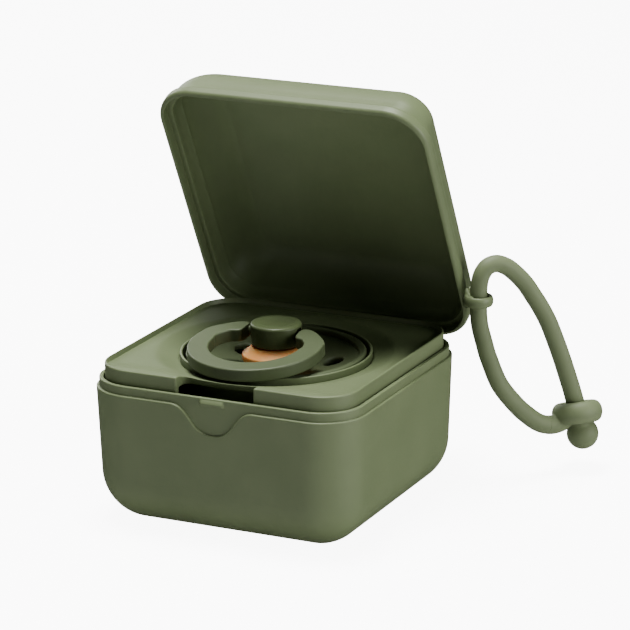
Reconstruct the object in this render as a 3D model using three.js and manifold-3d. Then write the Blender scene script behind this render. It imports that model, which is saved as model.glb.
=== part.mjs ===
// Pacifier box: a hinged plastic box with a lift-out tray, a pacifier and a silicone strap.
// Lengths are in millimetres, angles in degrees, +Z is up. The box stands on z = 0,
// centred on x and y, with its hinge at the back (+Y) and its lid open as in the photograph.

import * as THREE from "three";
import { mergeVertices } from "three/addons/utils/BufferGeometryUtils.js";
import Module from "manifold-3d";

// Driving sizes of the box
const BOX_WIDTH = 70;
const BOX_CORNER_RADIUS = 11.4;
const LID_HEIGHT = 17.2;
const LID_OPEN_DEG = 63.25;
const TOUCH_GAP = 0.3;
const BOOLEAN_OVERRUN = 2;

// Base shell
const BASE_DRAFT = 1;
const BASE_WALL = 1.8;
const BASE_FLOOR = 2;
const BULB_ABOVE_FLOOR = 4;
const FOOT_ROUND_RADIUS = 12;
const SHOULDER_ROUND_RADIUS = 0.35;
const LEAST_CORNER_RADIUS = 1;
const RIM_INSET = 0.7;
const RIM_HEIGHT = 2.2;
const RIM_ROUND_RADIUS = 0.3;
const DIP_HALF_WIDTH = 10.8;
const DIP_DEPTH = 6.7;
const SNAP_WIDTH = 6.5;
const SNAP_HEIGHT = 1;
const SNAP_REACH = 0.65;
const SNAP_BELOW_RIM_TOP = 0.5;
const STOP_WIDTH = 2.2;
const STOP_REACH = 1.7;
const STOP_EMBED = 0.9;
const STOP_SPACING = 34;

// Hinge at the back
const HINGE_BEHIND_WALL = 1.84;
const HINGE_BELOW_SHOULDER = 0.96;
const KNUCKLE_RADIUS = 1.75;
const KNUCKLE_BORE_RADIUS = 1.05;
const LID_KNUCKLE_LENGTH = 21;
const BASE_KNUCKLE_LENGTH = 7;
const EAR_ROOT_DEPTH = 7.5;
const EAR_ROOT_INSIDE = 0.8;
const LID_WEB_RISE = 4.2;
const LID_WEB_FOOT = 1.2;

// Lid shell, sizes from its rim upwards as it lies closed
const LID_RIM_OVERHANG = 0.86;
const LID_RIM_ROUND_RADIUS = 1.1;
const LID_RIM_CORNER_RADIUS = 10.6;
const LID_BEAD_HEIGHT = 2.6;
const LID_BEAD_STEP = 0.65;
const LID_BEAD_STEP_HEIGHT = 0.6;
const LID_TAPER = 0.9;
const CROWN_RUN = 8.8;
const CROWN_RISE = 11.3;
const CROWN_POWER = 1.7;
const CROWN_CORNER_RADIUS = 7.6;
const LID_WALL = 1.5;
const LID_TOP_WALL = 1.8;
const LID_RIM_CLEARANCE = 0.35;
const REBATE_DEPTH = 2.5;
const LID_TRAY_CLEARANCE = 0.35;
const CATCH_CLEARANCE = 0.3;

// Strap eyelet on the lid
const EYELET_FROM_HINGE = 14.8;
const EYELET_RISE = 0.93;
const EYELET_BORE_RADIUS = 2.35;
const EYELET_BAND = 1.3;
const EYELET_BAND_HEIGHT = 2.7;
const EYELET_OFF_LID = 0.24;
const EYELET_ROOT_REACH = 1.5;
const EYELET_ROOT_WIDTH = 5.6;
const EYELET_ROOT_HEIGHT = 4.6;
const EYELET_ROOT_RISE = 0.9;

// Lift-out tray, heights from the shoulder of the base
const TRAY_SKIRT_DEPTH = 8;
const TRAY_RISE = 5.7;
const TRAY_WALL = 1.2;
const TRAY_ROUND_RADIUS = 0.4;
const TRAY_LIP = 1;
const DECK_DROP = 1.2;
const DECK_THICKNESS = 1.6;
const DECK_RAMP_FRONT = 30.6;
const DECK_RAMP_BACK = 24;
const NOTCH_WIDTH = 20.2;
const NOTCH_BACK = 28.8;
const NOTCH_BELOW_SHOULDER = 4;
const NOTCH_UNDERCUT = 0.9;
const DISH_WIDTH = 4.2;
const DISH_LAP = 0.9;
const DISH_FOOT_RISE = 2.8;
const DISH_SLOPE_DEG = 17;
const COLLAR_CLEARANCE = 0.75;
const COLLAR_WALL = 0.65;
const COLLAR_RISE = 4.6;
const SEAT_GAP = 0.35;
const SEAT_THICKNESS = 1.6;
const TRAY_HOLE_CLEARANCE = 4;

// Pacifier, heights from the shoulder of the base
const SHIELD_RADIUS = 21.9;
const SHIELD_HOLE_RADIUS = 5.4;
const SHIELD_THICKNESS = 1.8;
const SHIELD_FACE_RISE = -2.37;
const SHIELD_BOWL_RISE = 4.58;
const SHIELD_BEAD_RISE = 4.4;
const SHIELD_BEAD_WIDTH = 1.9;
const VENT_RADIUS = 2.5;
const VENT_CIRCLE_RADIUS = 13.9;
const VENT_COUNT = 3;
const VENT_FIRST_DEG = 30;
const FLANGE_RADIUS = 8.35;
const FLANGE_TOP_RISE = 3.9;
const FLANGE_EDGE = 1.3;
const FLANGE_SEAT_RADIUS = 6.8;
const FLANGE_NECK_RADIUS = 5.9;
const NECK_RADIUS = 5;
const NECK_LENGTH = 9;
const BULB_RADIUS = 9;
const BULB_REACH = 27.5;
const LATEX_WALL = 1.3;
const KNOB_RADIUS = 6.3;
const KNOB_FOOT_RISE = 6.2;
const KNOB_HEIGHT = 5.3;
const KNOB_ROUND_RADIUS = 0.7;
const KNOB_DISH_DEPTH = 0.5;
const KNOB_TAPER = 0.3;
const STEM_LENGTH = 9;
const HANDLE_RADIUS = 16.4;
const HANDLE_WIDTH = 5.15;
const HANDLE_THICKNESS = 3.2;
const HANDLE_ROUND_RADIUS = 0.45;
const HANDLE_END_REACH = 1.62;
const HANDLE_END_BACK = 1.4;
const HANDLE_PIN_RADIUS = 1.1;
const HANDLE_PIN_REACH = 2.2;
const SOCKET_CLEARANCE = 0.4;

// Strap
const STRAP_DIAMETER = 4;
const BALL_RADIUS = 3.9;
const STRAP_RING_MIDDLE_RADIUS = 4.4;
const STRAP_RING_SECTION_RADIUS = 2;

// Mesh steps
const CORNER_STEPS = 7;
const ARC_STEPS = 6;
const TURN_STEPS = 64;
const SMALL_TURN_STEPS = 28;
const STRAP_SIDES = 10;
const UPPER_STRAP_STEPS = 36;
const LOWER_STRAP_STEPS = 24;
const MERGE_DISTANCE = 1e-4;

// Sizes that follow from the ones above
const BOX_HALF = BOX_WIDTH / 2;
const BASE_HEIGHT = BASE_FLOOR + BULB_ABOVE_FLOOR + BULB_REACH;
const RIGHT_ANGLE = Math.PI / 2;
const RIM_HALF = BOX_HALF - RIM_INSET;
const RIM_TOP = BASE_HEIGHT + RIM_HEIGHT;
const HINGE_Y = BOX_HALF + HINGE_BEHIND_WALL;
const HINGE_Z = BASE_HEIGHT - HINGE_BELOW_SHOULDER;
const HINGE_PIN_RADIUS = KNUCKLE_BORE_RADIUS - TOUCH_GAP;
const LID_FOOT = BASE_HEIGHT + TOUCH_GAP;
const LID_RIM_HALF = BOX_HALF + LID_RIM_OVERHANG;
const LID_CROWN_HALF = BOX_HALF - LID_TAPER;
const TRAY_SEAT = BASE_HEIGHT - TRAY_SKIRT_DEPTH;
const TRAY_TOP = BASE_HEIGHT + TRAY_RISE;
const DECK_TOP = TRAY_TOP - DECK_DROP;
const DECK_UNDERSIDE = DECK_TOP - DECK_THICKNESS;
const TRAY_HALF = BOX_HALF - BASE_WALL - TOUCH_GAP;
const DISH_SLOPE = Math.tan(THREE.MathUtils.degToRad(DISH_SLOPE_DEG));
const COLLAR_OUTER_RADIUS = SHIELD_RADIUS + COLLAR_CLEARANCE + COLLAR_WALL;
const DISH_PLATE_RADIUS = COLLAR_OUTER_RADIUS + DISH_WIDTH;
const DISH_OUTER_RADIUS = DISH_PLATE_RADIUS + DISH_LAP;
const TRAY_HOLE_RADIUS = BULB_RADIUS + TRAY_HOLE_CLEARANCE;
const KNOB_TOP_RISE = KNOB_FOOT_RISE + KNOB_HEIGHT;
const HANDLE_PIVOT_RISE = KNOB_FOOT_RISE + KNOB_HEIGHT / 2;
const HANDLE_MIDDLE_RADIUS = HANDLE_RADIUS - HANDLE_WIDTH / 2;
const HANDLE_END_X = KNOB_RADIUS + TOUCH_GAP + HANDLE_END_REACH;
const HANDLE_FORWARD = Math.sqrt(HANDLE_MIDDLE_RADIUS ** 2 - HANDLE_END_X ** 2);
const HANDLE_DROP = HANDLE_PIVOT_RISE - HANDLE_THICKNESS / 2 - TOUCH_GAP - COLLAR_RISE;
const HANDLE_REST_ANGLE = Math.atan(HANDLE_DROP / COLLAR_OUTER_RADIUS);

const wasm = await Module();
wasm.setup();

// Solids and placing

function signedVolume(position, index) {
  const a = new THREE.Vector3();
  const b = new THREE.Vector3();
  const c = new THREE.Vector3();
  let six = 0;
  for (let i = 0; i < index.length; i += 3) {
    a.fromBufferAttribute(position, index[i]);
    b.fromBufferAttribute(position, index[i + 1]);
    c.fromBufferAttribute(position, index[i + 2]);
    six += a.dot(b.cross(c));
  }
  return six;
}

function solid(geometry) {
  const bare = geometry.clone();
  bare.deleteAttribute("normal");
  bare.deleteAttribute("uv");
  const merged = mergeVertices(bare, MERGE_DISTANCE);
  const kept = [];
  const index = merged.index.array;
  for (let i = 0; i < index.length; i += 3) {
    const corners = [index[i], index[i + 1], index[i + 2]];
    if (new Set(corners).size === 3) kept.push(...corners);
  }
  if (signedVolume(merged.attributes.position, kept) < 0) kept.reverse();
  return new wasm.Manifold(
    new wasm.Mesh({
      numProp: 3,
      vertProperties: new Float32Array(merged.attributes.position.array),
      triVerts: new Uint32Array(kept),
    }),
  );
}

function geometryOf(manifold) {
  const mesh = manifold.getMesh();
  const geometry = new THREE.BufferGeometry();
  const positions = new Float32Array(mesh.vertProperties);
  geometry.setAttribute("position", new THREE.BufferAttribute(positions, mesh.numProp));
  geometry.setIndex(new THREE.BufferAttribute(new Uint32Array(mesh.triVerts), 1));
  geometry.computeVertexNormals();
  return geometry;
}

function roundedSquareRing({ half, radius, z }) {
  const points = [];
  for (let corner = 0; corner < 4; corner++) {
    const signX = corner === 0 || corner === 3 ? 1 : -1;
    const signY = corner < 2 ? 1 : -1;
    for (let step = 0; step <= CORNER_STEPS; step++) {
      const angle = (corner + step / CORNER_STEPS) * RIGHT_ANGLE;
      const x = signX * (half - radius) + radius * Math.cos(angle);
      const y = signY * (half - radius) + radius * Math.sin(angle);
      points.push(x, y, z);
    }
  }
  return points;
}

// A closed solid through rounded squares, one above the other.
function loft(levels) {
  const count = 4 * (CORNER_STEPS + 1);
  const positions = levels.flatMap(roundedSquareRing);
  const index = [];
  for (let level = 0; level + 1 < levels.length; level++) {
    for (let i = 0; i < count; i++) {
      const a = level * count + i;
      const b = level * count + ((i + 1) % count);
      index.push(a, b, b + count, a, b + count, a + count);
    }
  }
  const bottom = levels.length * count;
  const top = bottom + 1;
  positions.push(0, 0, levels[0].z, 0, 0, levels.at(-1).z);
  for (let i = 0; i < count; i++) {
    const next = (i + 1) % count;
    index.push(bottom, next, i);
    index.push(top, bottom - count + i, bottom - count + next);
  }
  const geometry = new THREE.BufferGeometry();
  geometry.setAttribute("position", new THREE.Float32BufferAttribute(positions, 3));
  geometry.setIndex(index);
  return solid(geometry);
}

// A profile of [radius, height] points turned about the Z axis.
function turned(profile, steps = TURN_STEPS) {
  const points = [...profile, profile[0]].map(([r, z]) => new THREE.Vector2(r, z));
  return solid(new THREE.LatheGeometry(points, steps).rotateX(RIGHT_ANGLE));
}

function cylinder(radius, length, steps = SMALL_TURN_STEPS) {
  return new THREE.CylinderGeometry(radius, radius, length, steps);
}

function cylinderAlongX(radius, length, { x, y, z }) {
  return solid(cylinder(radius, length).rotateZ(RIGHT_ANGLE).translate(x, y, z));
}

function cylinderAlongZ(radius, length, { x, y, z }) {
  return solid(cylinder(radius, length, TURN_STEPS).rotateX(RIGHT_ANGLE).translate(x, y, z));
}

// A box between two corners.
function block([x0, y0, z0], [x1, y1, z1]) {
  const geometry = new THREE.BoxGeometry(x1 - x0, y1 - y0, z1 - z0);
  return solid(geometry.translate((x0 + x1) / 2, (y0 + y1) / 2, (z0 + z1) / 2));
}

// An outline of [y, z] points drawn out along X, centred on x.
function bar(outline, length, x = 0) {
  const shape = new THREE.Shape(outline.map(([y, z]) => new THREE.Vector2(y, z)));
  const geometry = new THREE.ExtrudeGeometry(shape, { depth: length, bevelEnabled: false });
  geometry.applyMatrix4(new THREE.Matrix4().set(0, 0, 1, 0, 1, 0, 0, 0, 0, 1, 0, 0, 0, 0, 0, 1));
  return solid(geometry.translate(x - length / 2, 0, 0));
}

function arcStops(steps) {
  return Array.from({ length: steps + 1 }, (_, i) => (i / steps) * RIGHT_ANGLE);
}

// Base shell

function baseHalfAt(z) {
  return BOX_HALF - BASE_DRAFT * (1 - Math.min(z, BASE_HEIGHT) / BASE_HEIGHT);
}

// The outside of the base, or its inside where inset is the wall.
function baseLevels(inset, floor, top) {
  const footRadius = FOOT_ROUND_RADIUS - inset;
  const levels = arcStops(ARC_STEPS + 1).map((angle) => {
    const z = floor + footRadius * (1 - Math.cos(angle));
    const pull = footRadius * (1 - Math.sin(angle));
    const radius = Math.max(BOX_CORNER_RADIUS - inset - pull, LEAST_CORNER_RADIUS);
    return { half: baseHalfAt(z) - inset - pull, radius, z };
  });
  const radius = BOX_CORNER_RADIUS - inset;
  return [...levels, ...top.map((level) => ({ radius, ...level }))];
}

function dipOutline() {
  const shape = new THREE.Shape();
  const half = DIP_HALF_WIDTH;
  const shoulder = BASE_HEIGHT;
  const low = BASE_HEIGHT - DIP_DEPTH;
  const startShares = [0.78, 0.66, 0.52];
  const endShares = [0.38, 0.26];
  const kneeDropShare = 0.54;
  const bendDropShare = 0.24;
  const lowerDropShare = 0.86;
  const knee = BASE_HEIGHT - DIP_DEPTH * kneeDropShare;
  const bend = BASE_HEIGHT - DIP_DEPTH * bendDropShare;
  const lower = BASE_HEIGHT - DIP_DEPTH * lowerDropShare;
  shape.moveTo(-half, RIM_TOP + BOOLEAN_OVERRUN);
  shape.lineTo(-half, shoulder);
  shape.bezierCurveTo(
    -half * startShares[0], shoulder, -half * startShares[1], bend, -half * startShares[2], knee,
  );
  shape.bezierCurveTo(-half * endShares[0], lower, -half * endShares[1], low, 0, low);
  shape.bezierCurveTo(half * endShares[1], low, half * endShares[0], lower, half * startShares[2], knee);
  shape.bezierCurveTo(
    half * startShares[1], bend, half * startShares[0], shoulder, half, shoulder,
  );
  shape.lineTo(half, RIM_TOP + BOOLEAN_OVERRUN);
  return shape;
}

function thumbDip() {
  const options = { depth: RIM_INSET + BOOLEAN_OVERRUN, bevelEnabled: false, curveSegments: ARC_STEPS };
  const geometry = new THREE.ExtrudeGeometry(dipOutline(), options);
  return solid(geometry.rotateX(RIGHT_ANGLE).translate(0, -RIM_HALF, 0));
}

function snapBump() {
  const half = SNAP_WIDTH / 2;
  const top = RIM_TOP - SNAP_BELOW_RIM_TOP;
  const low = top - SNAP_HEIGHT;
  const face = -RIM_HALF;
  const tipShare = 0.8;
  const shape = new THREE.Shape();
  shape.moveTo(-half, face + SNAP_REACH);
  shape.lineTo(-half, face);
  shape.lineTo(-half * tipShare, face - SNAP_REACH);
  shape.lineTo(half * tipShare, face - SNAP_REACH);
  shape.lineTo(half, face);
  shape.lineTo(half, face + SNAP_REACH);
  const geometry = new THREE.ExtrudeGeometry(shape, { depth: SNAP_HEIGHT, bevelEnabled: false });
  return solid(geometry.translate(0, 0, low));
}

// Eight ribs inside the walls that the tray's skirt stands on.
function trayStops() {
  const top = TRAY_SEAT - TOUCH_GAP;
  const inner = baseHalfAt(TRAY_SEAT) - BASE_WALL - STOP_REACH;
  const outer = baseHalfAt(0) - BASE_WALL + STOP_EMBED;
  const width = STOP_WIDTH / 2;
  const stops = [];
  for (let side = 0; side < 4; side++) {
    for (const along of [-STOP_SPACING / 2, STOP_SPACING / 2]) {
      const rib = new THREE.BoxGeometry(outer - inner, 2 * width, top - FOOT_ROUND_RADIUS);
      rib.translate((outer + inner) / 2, along, (top + FOOT_ROUND_RADIUS) / 2);
      stops.push(solid(rib.rotateZ(side * RIGHT_ANGLE)));
    }
  }
  return stops;
}

function baseKnuckles() {
  const length = BASE_KNUCKLE_LENGTH;
  const middle = LID_KNUCKLE_LENGTH / 2 + TOUCH_GAP + length / 2;
  const root = BOX_HALF - EAR_ROOT_INSIDE;
  const cheek = KNUCKLE_RADIUS * Math.SQRT1_2;
  const outline = [
    [root, HINGE_Z + cheek / 2],
    [HINGE_Y - cheek / 2, HINGE_Z + cheek],
    [HINGE_Y + cheek, HINGE_Z - cheek],
    [root, HINGE_Z - EAR_ROOT_DEPTH],
  ];
  return [-middle, middle].flatMap((x) => [
    cylinderAlongX(KNUCKLE_RADIUS, length, { x, y: HINGE_Y, z: HINGE_Z }),
    bar(outline, length, x),
  ]);
}

function hingeBore() {
  const length = LID_KNUCKLE_LENGTH + 2 * BASE_KNUCKLE_LENGTH + 2 * BOOLEAN_OVERRUN;
  return cylinderAlongX(KNUCKLE_BORE_RADIUS, length, { x: 0, y: HINGE_Y, z: HINGE_Z });
}

function baseShell() {
  const shoulder = BASE_HEIGHT - SHOULDER_ROUND_RADIUS;
  let body = loft(
    baseLevels(0, 0, [
      { half: baseHalfAt(shoulder), z: shoulder },
      { half: BOX_HALF - SHOULDER_ROUND_RADIUS, z: BASE_HEIGHT },
    ]),
  );
  const radius = BOX_CORNER_RADIUS - RIM_INSET;
  const rim = loft([
    { half: RIM_HALF, radius, z: BASE_HEIGHT - BASE_WALL },
    { half: RIM_HALF, radius, z: RIM_TOP - RIM_ROUND_RADIUS },
    { half: RIM_HALF - RIM_ROUND_RADIUS, radius: radius - RIM_ROUND_RADIUS, z: RIM_TOP },
  ]);
  body = body.subtract(thumbDip()).add(rim).add(snapBump());
  const inside = loft(
    baseLevels(BASE_WALL, BASE_FLOOR, [
      { half: BOX_HALF - BASE_WALL, z: BASE_HEIGHT },
      { half: BOX_HALF - BASE_WALL, z: RIM_TOP + BOOLEAN_OVERRUN },
    ]),
  );
  body = body.subtract(inside);
  for (const piece of trayStops()) body = body.add(piece);
  const relief = KNUCKLE_RADIUS + TOUCH_GAP;
  const reliefLength = LID_KNUCKLE_LENGTH + 2 * TOUCH_GAP;
  const middle = { x: 0, y: HINGE_Y, z: HINGE_Z };
  body = body.subtract(cylinderAlongX(relief, reliefLength, middle));
  for (const piece of baseKnuckles()) body = body.add(piece);
  return body.subtract(hingeBore());
}

function hingePin() {
  const length = LID_KNUCKLE_LENGTH + 2 * (BASE_KNUCKLE_LENGTH + TOUCH_GAP);
  return cylinderAlongX(HINGE_PIN_RADIUS, length, { x: 0, y: HINGE_Y, z: HINGE_Z });
}

// Lid shell, built closed and turned open about the hinge by its group

function crownLevels(half, cornerRadius, top, run, rise) {
  return arcStops(ARC_STEPS + 1).map((angle) => {
    const pull = run * (1 - Math.cos(angle) ** (2 / CROWN_POWER));
    const z = top - rise * (1 - Math.sin(angle) ** (2 / CROWN_POWER));
    const cornerShare = 0.2;
    return { half: half - pull, radius: cornerRadius - cornerShare * pull, z };
  });
}

function lidOutside() {
  const rim = arcStops(3).map((angle) => {
    const pull = LID_RIM_ROUND_RADIUS * (1 - Math.sin(angle));
    return {
      half: LID_RIM_HALF - pull,
      radius: LID_RIM_CORNER_RADIUS - pull,
      z: LID_FOOT + LID_RIM_ROUND_RADIUS * (1 - Math.cos(angle)),
    };
  });
  const bead = LID_FOOT + LID_BEAD_HEIGHT;
  const radius = LID_RIM_CORNER_RADIUS;
  return loft([
    ...rim,
    { half: LID_RIM_HALF, radius, z: bead },
    { half: LID_RIM_HALF - LID_BEAD_STEP, radius: radius - LID_BEAD_STEP, z: bead + LID_BEAD_STEP_HEIGHT },
    ...crownLevels(LID_CROWN_HALF, CROWN_CORNER_RADIUS, LID_FOOT + LID_HEIGHT, CROWN_RUN, CROWN_RISE),
  ]);
}

function lidInside() {
  const rebate = RIM_HALF + LID_RIM_CLEARANCE;
  const throat = TRAY_HALF + LID_TRAY_CLEARANCE;
  const radius = LID_RIM_CORNER_RADIUS - LID_RIM_HALF + rebate;
  const throatRadius = radius - rebate + throat;
  const overTray = TRAY_TOP + LID_TRAY_CLEARANCE;
  const step = LID_FOOT + REBATE_DEPTH;
  const rise = CROWN_RISE - LID_TOP_WALL;
  const half = LID_CROWN_HALF - LID_WALL;
  const top = LID_FOOT + LID_HEIGHT - LID_TOP_WALL;
  return loft([
    { half: rebate, radius, z: LID_FOOT - BOOLEAN_OVERRUN },
    { half: rebate, radius, z: step },
    { half: throat, radius: throatRadius, z: step + TOUCH_GAP },
    { half: throat, radius: throatRadius, z: overTray },
    ...crownLevels(half, CROWN_CORNER_RADIUS - LID_WALL / 2, top, CROWN_RUN - LID_WALL, rise).slice(1),
  ]);
}

function snapCatch() {
  const half = SNAP_WIDTH / 2 + CATCH_CLEARANCE;
  const top = RIM_TOP - SNAP_BELOW_RIM_TOP + CATCH_CLEARANCE;
  const low = RIM_TOP - SNAP_BELOW_RIM_TOP - SNAP_HEIGHT - CATCH_CLEARANCE;
  const face = -RIM_HALF - SNAP_REACH - CATCH_CLEARANCE;
  return block([-half, face, low], [half, -RIM_HALF, top]);
}

function lidKnuckle() {
  const wall = BOX_HALF;
  const outline = [
    [wall, LID_FOOT + LID_WEB_FOOT],
    [HINGE_Y - KNUCKLE_RADIUS * Math.SQRT1_2, HINGE_Z + KNUCKLE_RADIUS * Math.SQRT1_2],
    [HINGE_Y + KNUCKLE_RADIUS / 2, HINGE_Z + KNUCKLE_RADIUS / 2],
    [wall, LID_FOOT + LID_WEB_RISE],
  ];
  return [
    cylinderAlongX(KNUCKLE_RADIUS, LID_KNUCKLE_LENGTH, { x: 0, y: HINGE_Y, z: HINGE_Z }),
    bar(outline, LID_KNUCKLE_LENGTH),
  ];
}

// The hole's axis leans so that it stands upright while the lid is open as built.
function strapEyelet() {
  const middle = EYELET_BORE_RADIUS + EYELET_BAND / 2;
  const section = [];
  for (let i = 0; i < 2 * ARC_STEPS; i++) {
    const angle = (i / ARC_STEPS) * Math.PI;
    const r = middle + (EYELET_BAND / 2) * Math.cos(angle);
    section.push(new THREE.Vector2(r, (EYELET_BAND_HEIGHT / 2) * Math.sin(angle)));
  }
  section.push(section[0].clone());
  const lean = THREE.MathUtils.degToRad(LID_OPEN_DEG);
  const x = LID_RIM_HALF + EYELET_OFF_LID + EYELET_BAND + EYELET_BORE_RADIUS;
  const y = HINGE_Y - EYELET_FROM_HINGE;
  const z = HINGE_Z + EYELET_RISE;
  const band = new THREE.LatheGeometry(section, SMALL_TURN_STEPS);
  band.rotateX(RIGHT_ANGLE + lean).translate(x, y, z);
  const root = new THREE.SphereGeometry(1, 2 * ARC_STEPS, ARC_STEPS + 2);
  root.scale(EYELET_ROOT_REACH, EYELET_ROOT_WIDTH / 2, EYELET_ROOT_HEIGHT / 2);
  root.translate(LID_RIM_HALF, y, LID_FOOT + EYELET_ROOT_RISE);
  return solid(band).add(solid(root));
}

function lidShell() {
  const seatHalf = BOX_HALF + TOUCH_GAP;
  const radius = BOX_CORNER_RADIUS;
  const seat = loft([
    { half: seatHalf, radius, z: TRAY_SEAT },
    { half: seatHalf, radius, z: LID_FOOT },
  ]);
  let body = lidOutside().add(strapEyelet().subtract(seat));
  for (const piece of lidKnuckle()) body = body.add(piece);
  return body.subtract(lidInside()).subtract(snapCatch()).subtract(hingeBore());
}

// Lift-out tray

function trayHalfAt(z) {
  return baseHalfAt(z) - BASE_WALL - TOUCH_GAP;
}

function coneRiseAt(radius) {
  return BASE_HEIGHT + DISH_FOOT_RISE + DISH_SLOPE * (radius - COLLAR_OUTER_RADIUS);
}

function trayOutside() {
  const radius = BOX_CORNER_RADIUS - BASE_WALL - TOUCH_GAP;
  const edge = TRAY_TOP - TRAY_ROUND_RADIUS;
  return loft([
    { half: trayHalfAt(TRAY_SEAT), radius, z: TRAY_SEAT },
    { half: TRAY_HALF, radius, z: BASE_HEIGHT },
    { half: TRAY_HALF, radius, z: edge },
    { half: TRAY_HALF - TRAY_ROUND_RADIUS, radius: radius - TRAY_ROUND_RADIUS, z: TRAY_TOP },
  ]);
}

function trayHollow() {
  const radius = BOX_CORNER_RADIUS - BASE_WALL - TOUCH_GAP - TRAY_WALL;
  const half = trayHalfAt(TRAY_SEAT) - TRAY_WALL;
  return loft([
    { half, radius, z: TRAY_SEAT - BOOLEAN_OVERRUN },
    { half, radius, z: DECK_UNDERSIDE },
  ]);
}

// The sunken deck, which runs up to the top edge along the front.
function deckRecess() {
  const half = TRAY_HALF - TRAY_LIP;
  const radius = BOX_CORNER_RADIUS - BASE_WALL - TOUCH_GAP - TRAY_LIP;
  const high = TRAY_TOP + BOOLEAN_OVERRUN;
  const ramp = [
    [-DECK_RAMP_FRONT, TRAY_TOP],
    [-DECK_RAMP_BACK, DECK_TOP],
    [half, DECK_TOP],
    [half, high],
    [-DECK_RAMP_FRONT, high],
  ];
  const inside = loft([
    { half, radius, z: DECK_UNDERSIDE },
    { half, radius, z: high },
  ]);
  return bar(ramp, BOX_WIDTH).intersect(inside);
}

// Everything above the dish's cone, from the collar out to where the cone meets the top edge.
function dishRecess() {
  const outer = COLLAR_OUTER_RADIUS + (TRAY_RISE - DISH_FOOT_RISE) / DISH_SLOPE;
  const high = TRAY_TOP + BOOLEAN_OVERRUN;
  return turned([
    [0, coneRiseAt(COLLAR_OUTER_RADIUS)],
    [COLLAR_OUTER_RADIUS, coneRiseAt(COLLAR_OUTER_RADIUS)],
    [outer, TRAY_TOP],
    [outer, high],
    [0, high],
  ]);
}

function dishAndCollar() {
  const foot = coneRiseAt(COLLAR_OUTER_RADIUS);
  const edge = coneRiseAt(DISH_OUTER_RADIUS);
  const collarTop = BASE_HEIGHT + COLLAR_RISE;
  const inner = COLLAR_OUTER_RADIUS - COLLAR_WALL;
  const round = COLLAR_WALL / 4;
  const seat = shieldFaceAt(TRAY_HOLE_RADIUS) - SEAT_GAP;
  return turned([
    [TRAY_HOLE_RADIUS, seat - SEAT_THICKNESS],
    [COLLAR_OUTER_RADIUS - round, seat - SEAT_THICKNESS],
    [COLLAR_OUTER_RADIUS, seat - SEAT_THICKNESS + round],
    [COLLAR_OUTER_RADIUS, foot - SEAT_THICKNESS],
    [DISH_OUTER_RADIUS, edge - DECK_THICKNESS],
    [DISH_OUTER_RADIUS, edge],
    [COLLAR_OUTER_RADIUS, foot],
    [COLLAR_OUTER_RADIUS, collarTop - round],
    [COLLAR_OUTER_RADIUS - round, collarTop],
    [inner + round, collarTop],
    [inner, collarTop - round],
    [inner, seat],
    [TRAY_HOLE_RADIUS, seat],
  ]);
}

function tray() {
  const middle = { x: 0, y: 0, z: DECK_UNDERSIDE };
  const plateHole = cylinderAlongZ(DISH_PLATE_RADIUS, 2 * TRAY_RISE, middle);
  const front = -TRAY_HALF - BOOLEAN_OVERRUN;
  const undercut = NOTCH_UNDERCUT - NOTCH_BACK;
  const notchSide = [
    [front, BASE_HEIGHT - NOTCH_BELOW_SHOULDER],
    [undercut, BASE_HEIGHT - NOTCH_BELOW_SHOULDER],
    [undercut, DECK_UNDERSIDE],
    [-NOTCH_BACK, DECK_TOP],
    [-NOTCH_BACK, TRAY_TOP + BOOLEAN_OVERRUN],
    [front, TRAY_TOP + BOOLEAN_OVERRUN],
  ];
  const notch = bar(notchSide, NOTCH_WIDTH);
  return trayOutside()
    .subtract(trayHollow())
    .subtract(deckRecess())
    .subtract(dishRecess())
    .subtract(plateHole)
    .add(dishAndCollar())
    .subtract(notch);
}

// Pacifier

function shieldFaceAt(radius) {
  return BASE_HEIGHT + SHIELD_FACE_RISE + SHIELD_BOWL_RISE * (radius / SHIELD_RADIUS) ** 2;
}

function pacifierShield() {
  const stops = Array.from({ length: ARC_STEPS + 1 }, (_, i) => i / ARC_STEPS);
  const beadInner = SHIELD_RADIUS - SHIELD_BEAD_WIDTH;
  const beadTop = BASE_HEIGHT + SHIELD_BEAD_RISE;
  const round = SHIELD_BEAD_WIDTH / 3;
  const reach = beadInner - SHIELD_HOLE_RADIUS;
  const under = stops.map((share) => {
    const r = SHIELD_HOLE_RADIUS + reach * share;
    return [r, shieldFaceAt(r)];
  });
  const over = stops.toReversed().map((share) => {
    const r = SHIELD_HOLE_RADIUS + reach * share;
    return [r, shieldFaceAt(r) + SHIELD_THICKNESS];
  });
  let body = turned([
    ...under,
    [SHIELD_RADIUS - round, shieldFaceAt(SHIELD_RADIUS - round)],
    [SHIELD_RADIUS, shieldFaceAt(SHIELD_RADIUS) + round],
    [SHIELD_RADIUS, beadTop - round],
    [SHIELD_RADIUS - round, beadTop],
    [beadInner + round, beadTop],
    ...over,
  ]);
  for (let i = 0; i < VENT_COUNT; i++) {
    const angle = THREE.MathUtils.degToRad(VENT_FIRST_DEG + (i * 360) / VENT_COUNT);
    const x = VENT_CIRCLE_RADIUS * Math.cos(angle);
    const y = VENT_CIRCLE_RADIUS * Math.sin(angle);
    const hole = cylinder(VENT_RADIUS, 4 * SHIELD_BEAD_RISE).rotateX(RIGHT_ANGLE);
    body = body.subtract(solid(hole.translate(x, y, BASE_HEIGHT)));
  }
  return body;
}

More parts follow.
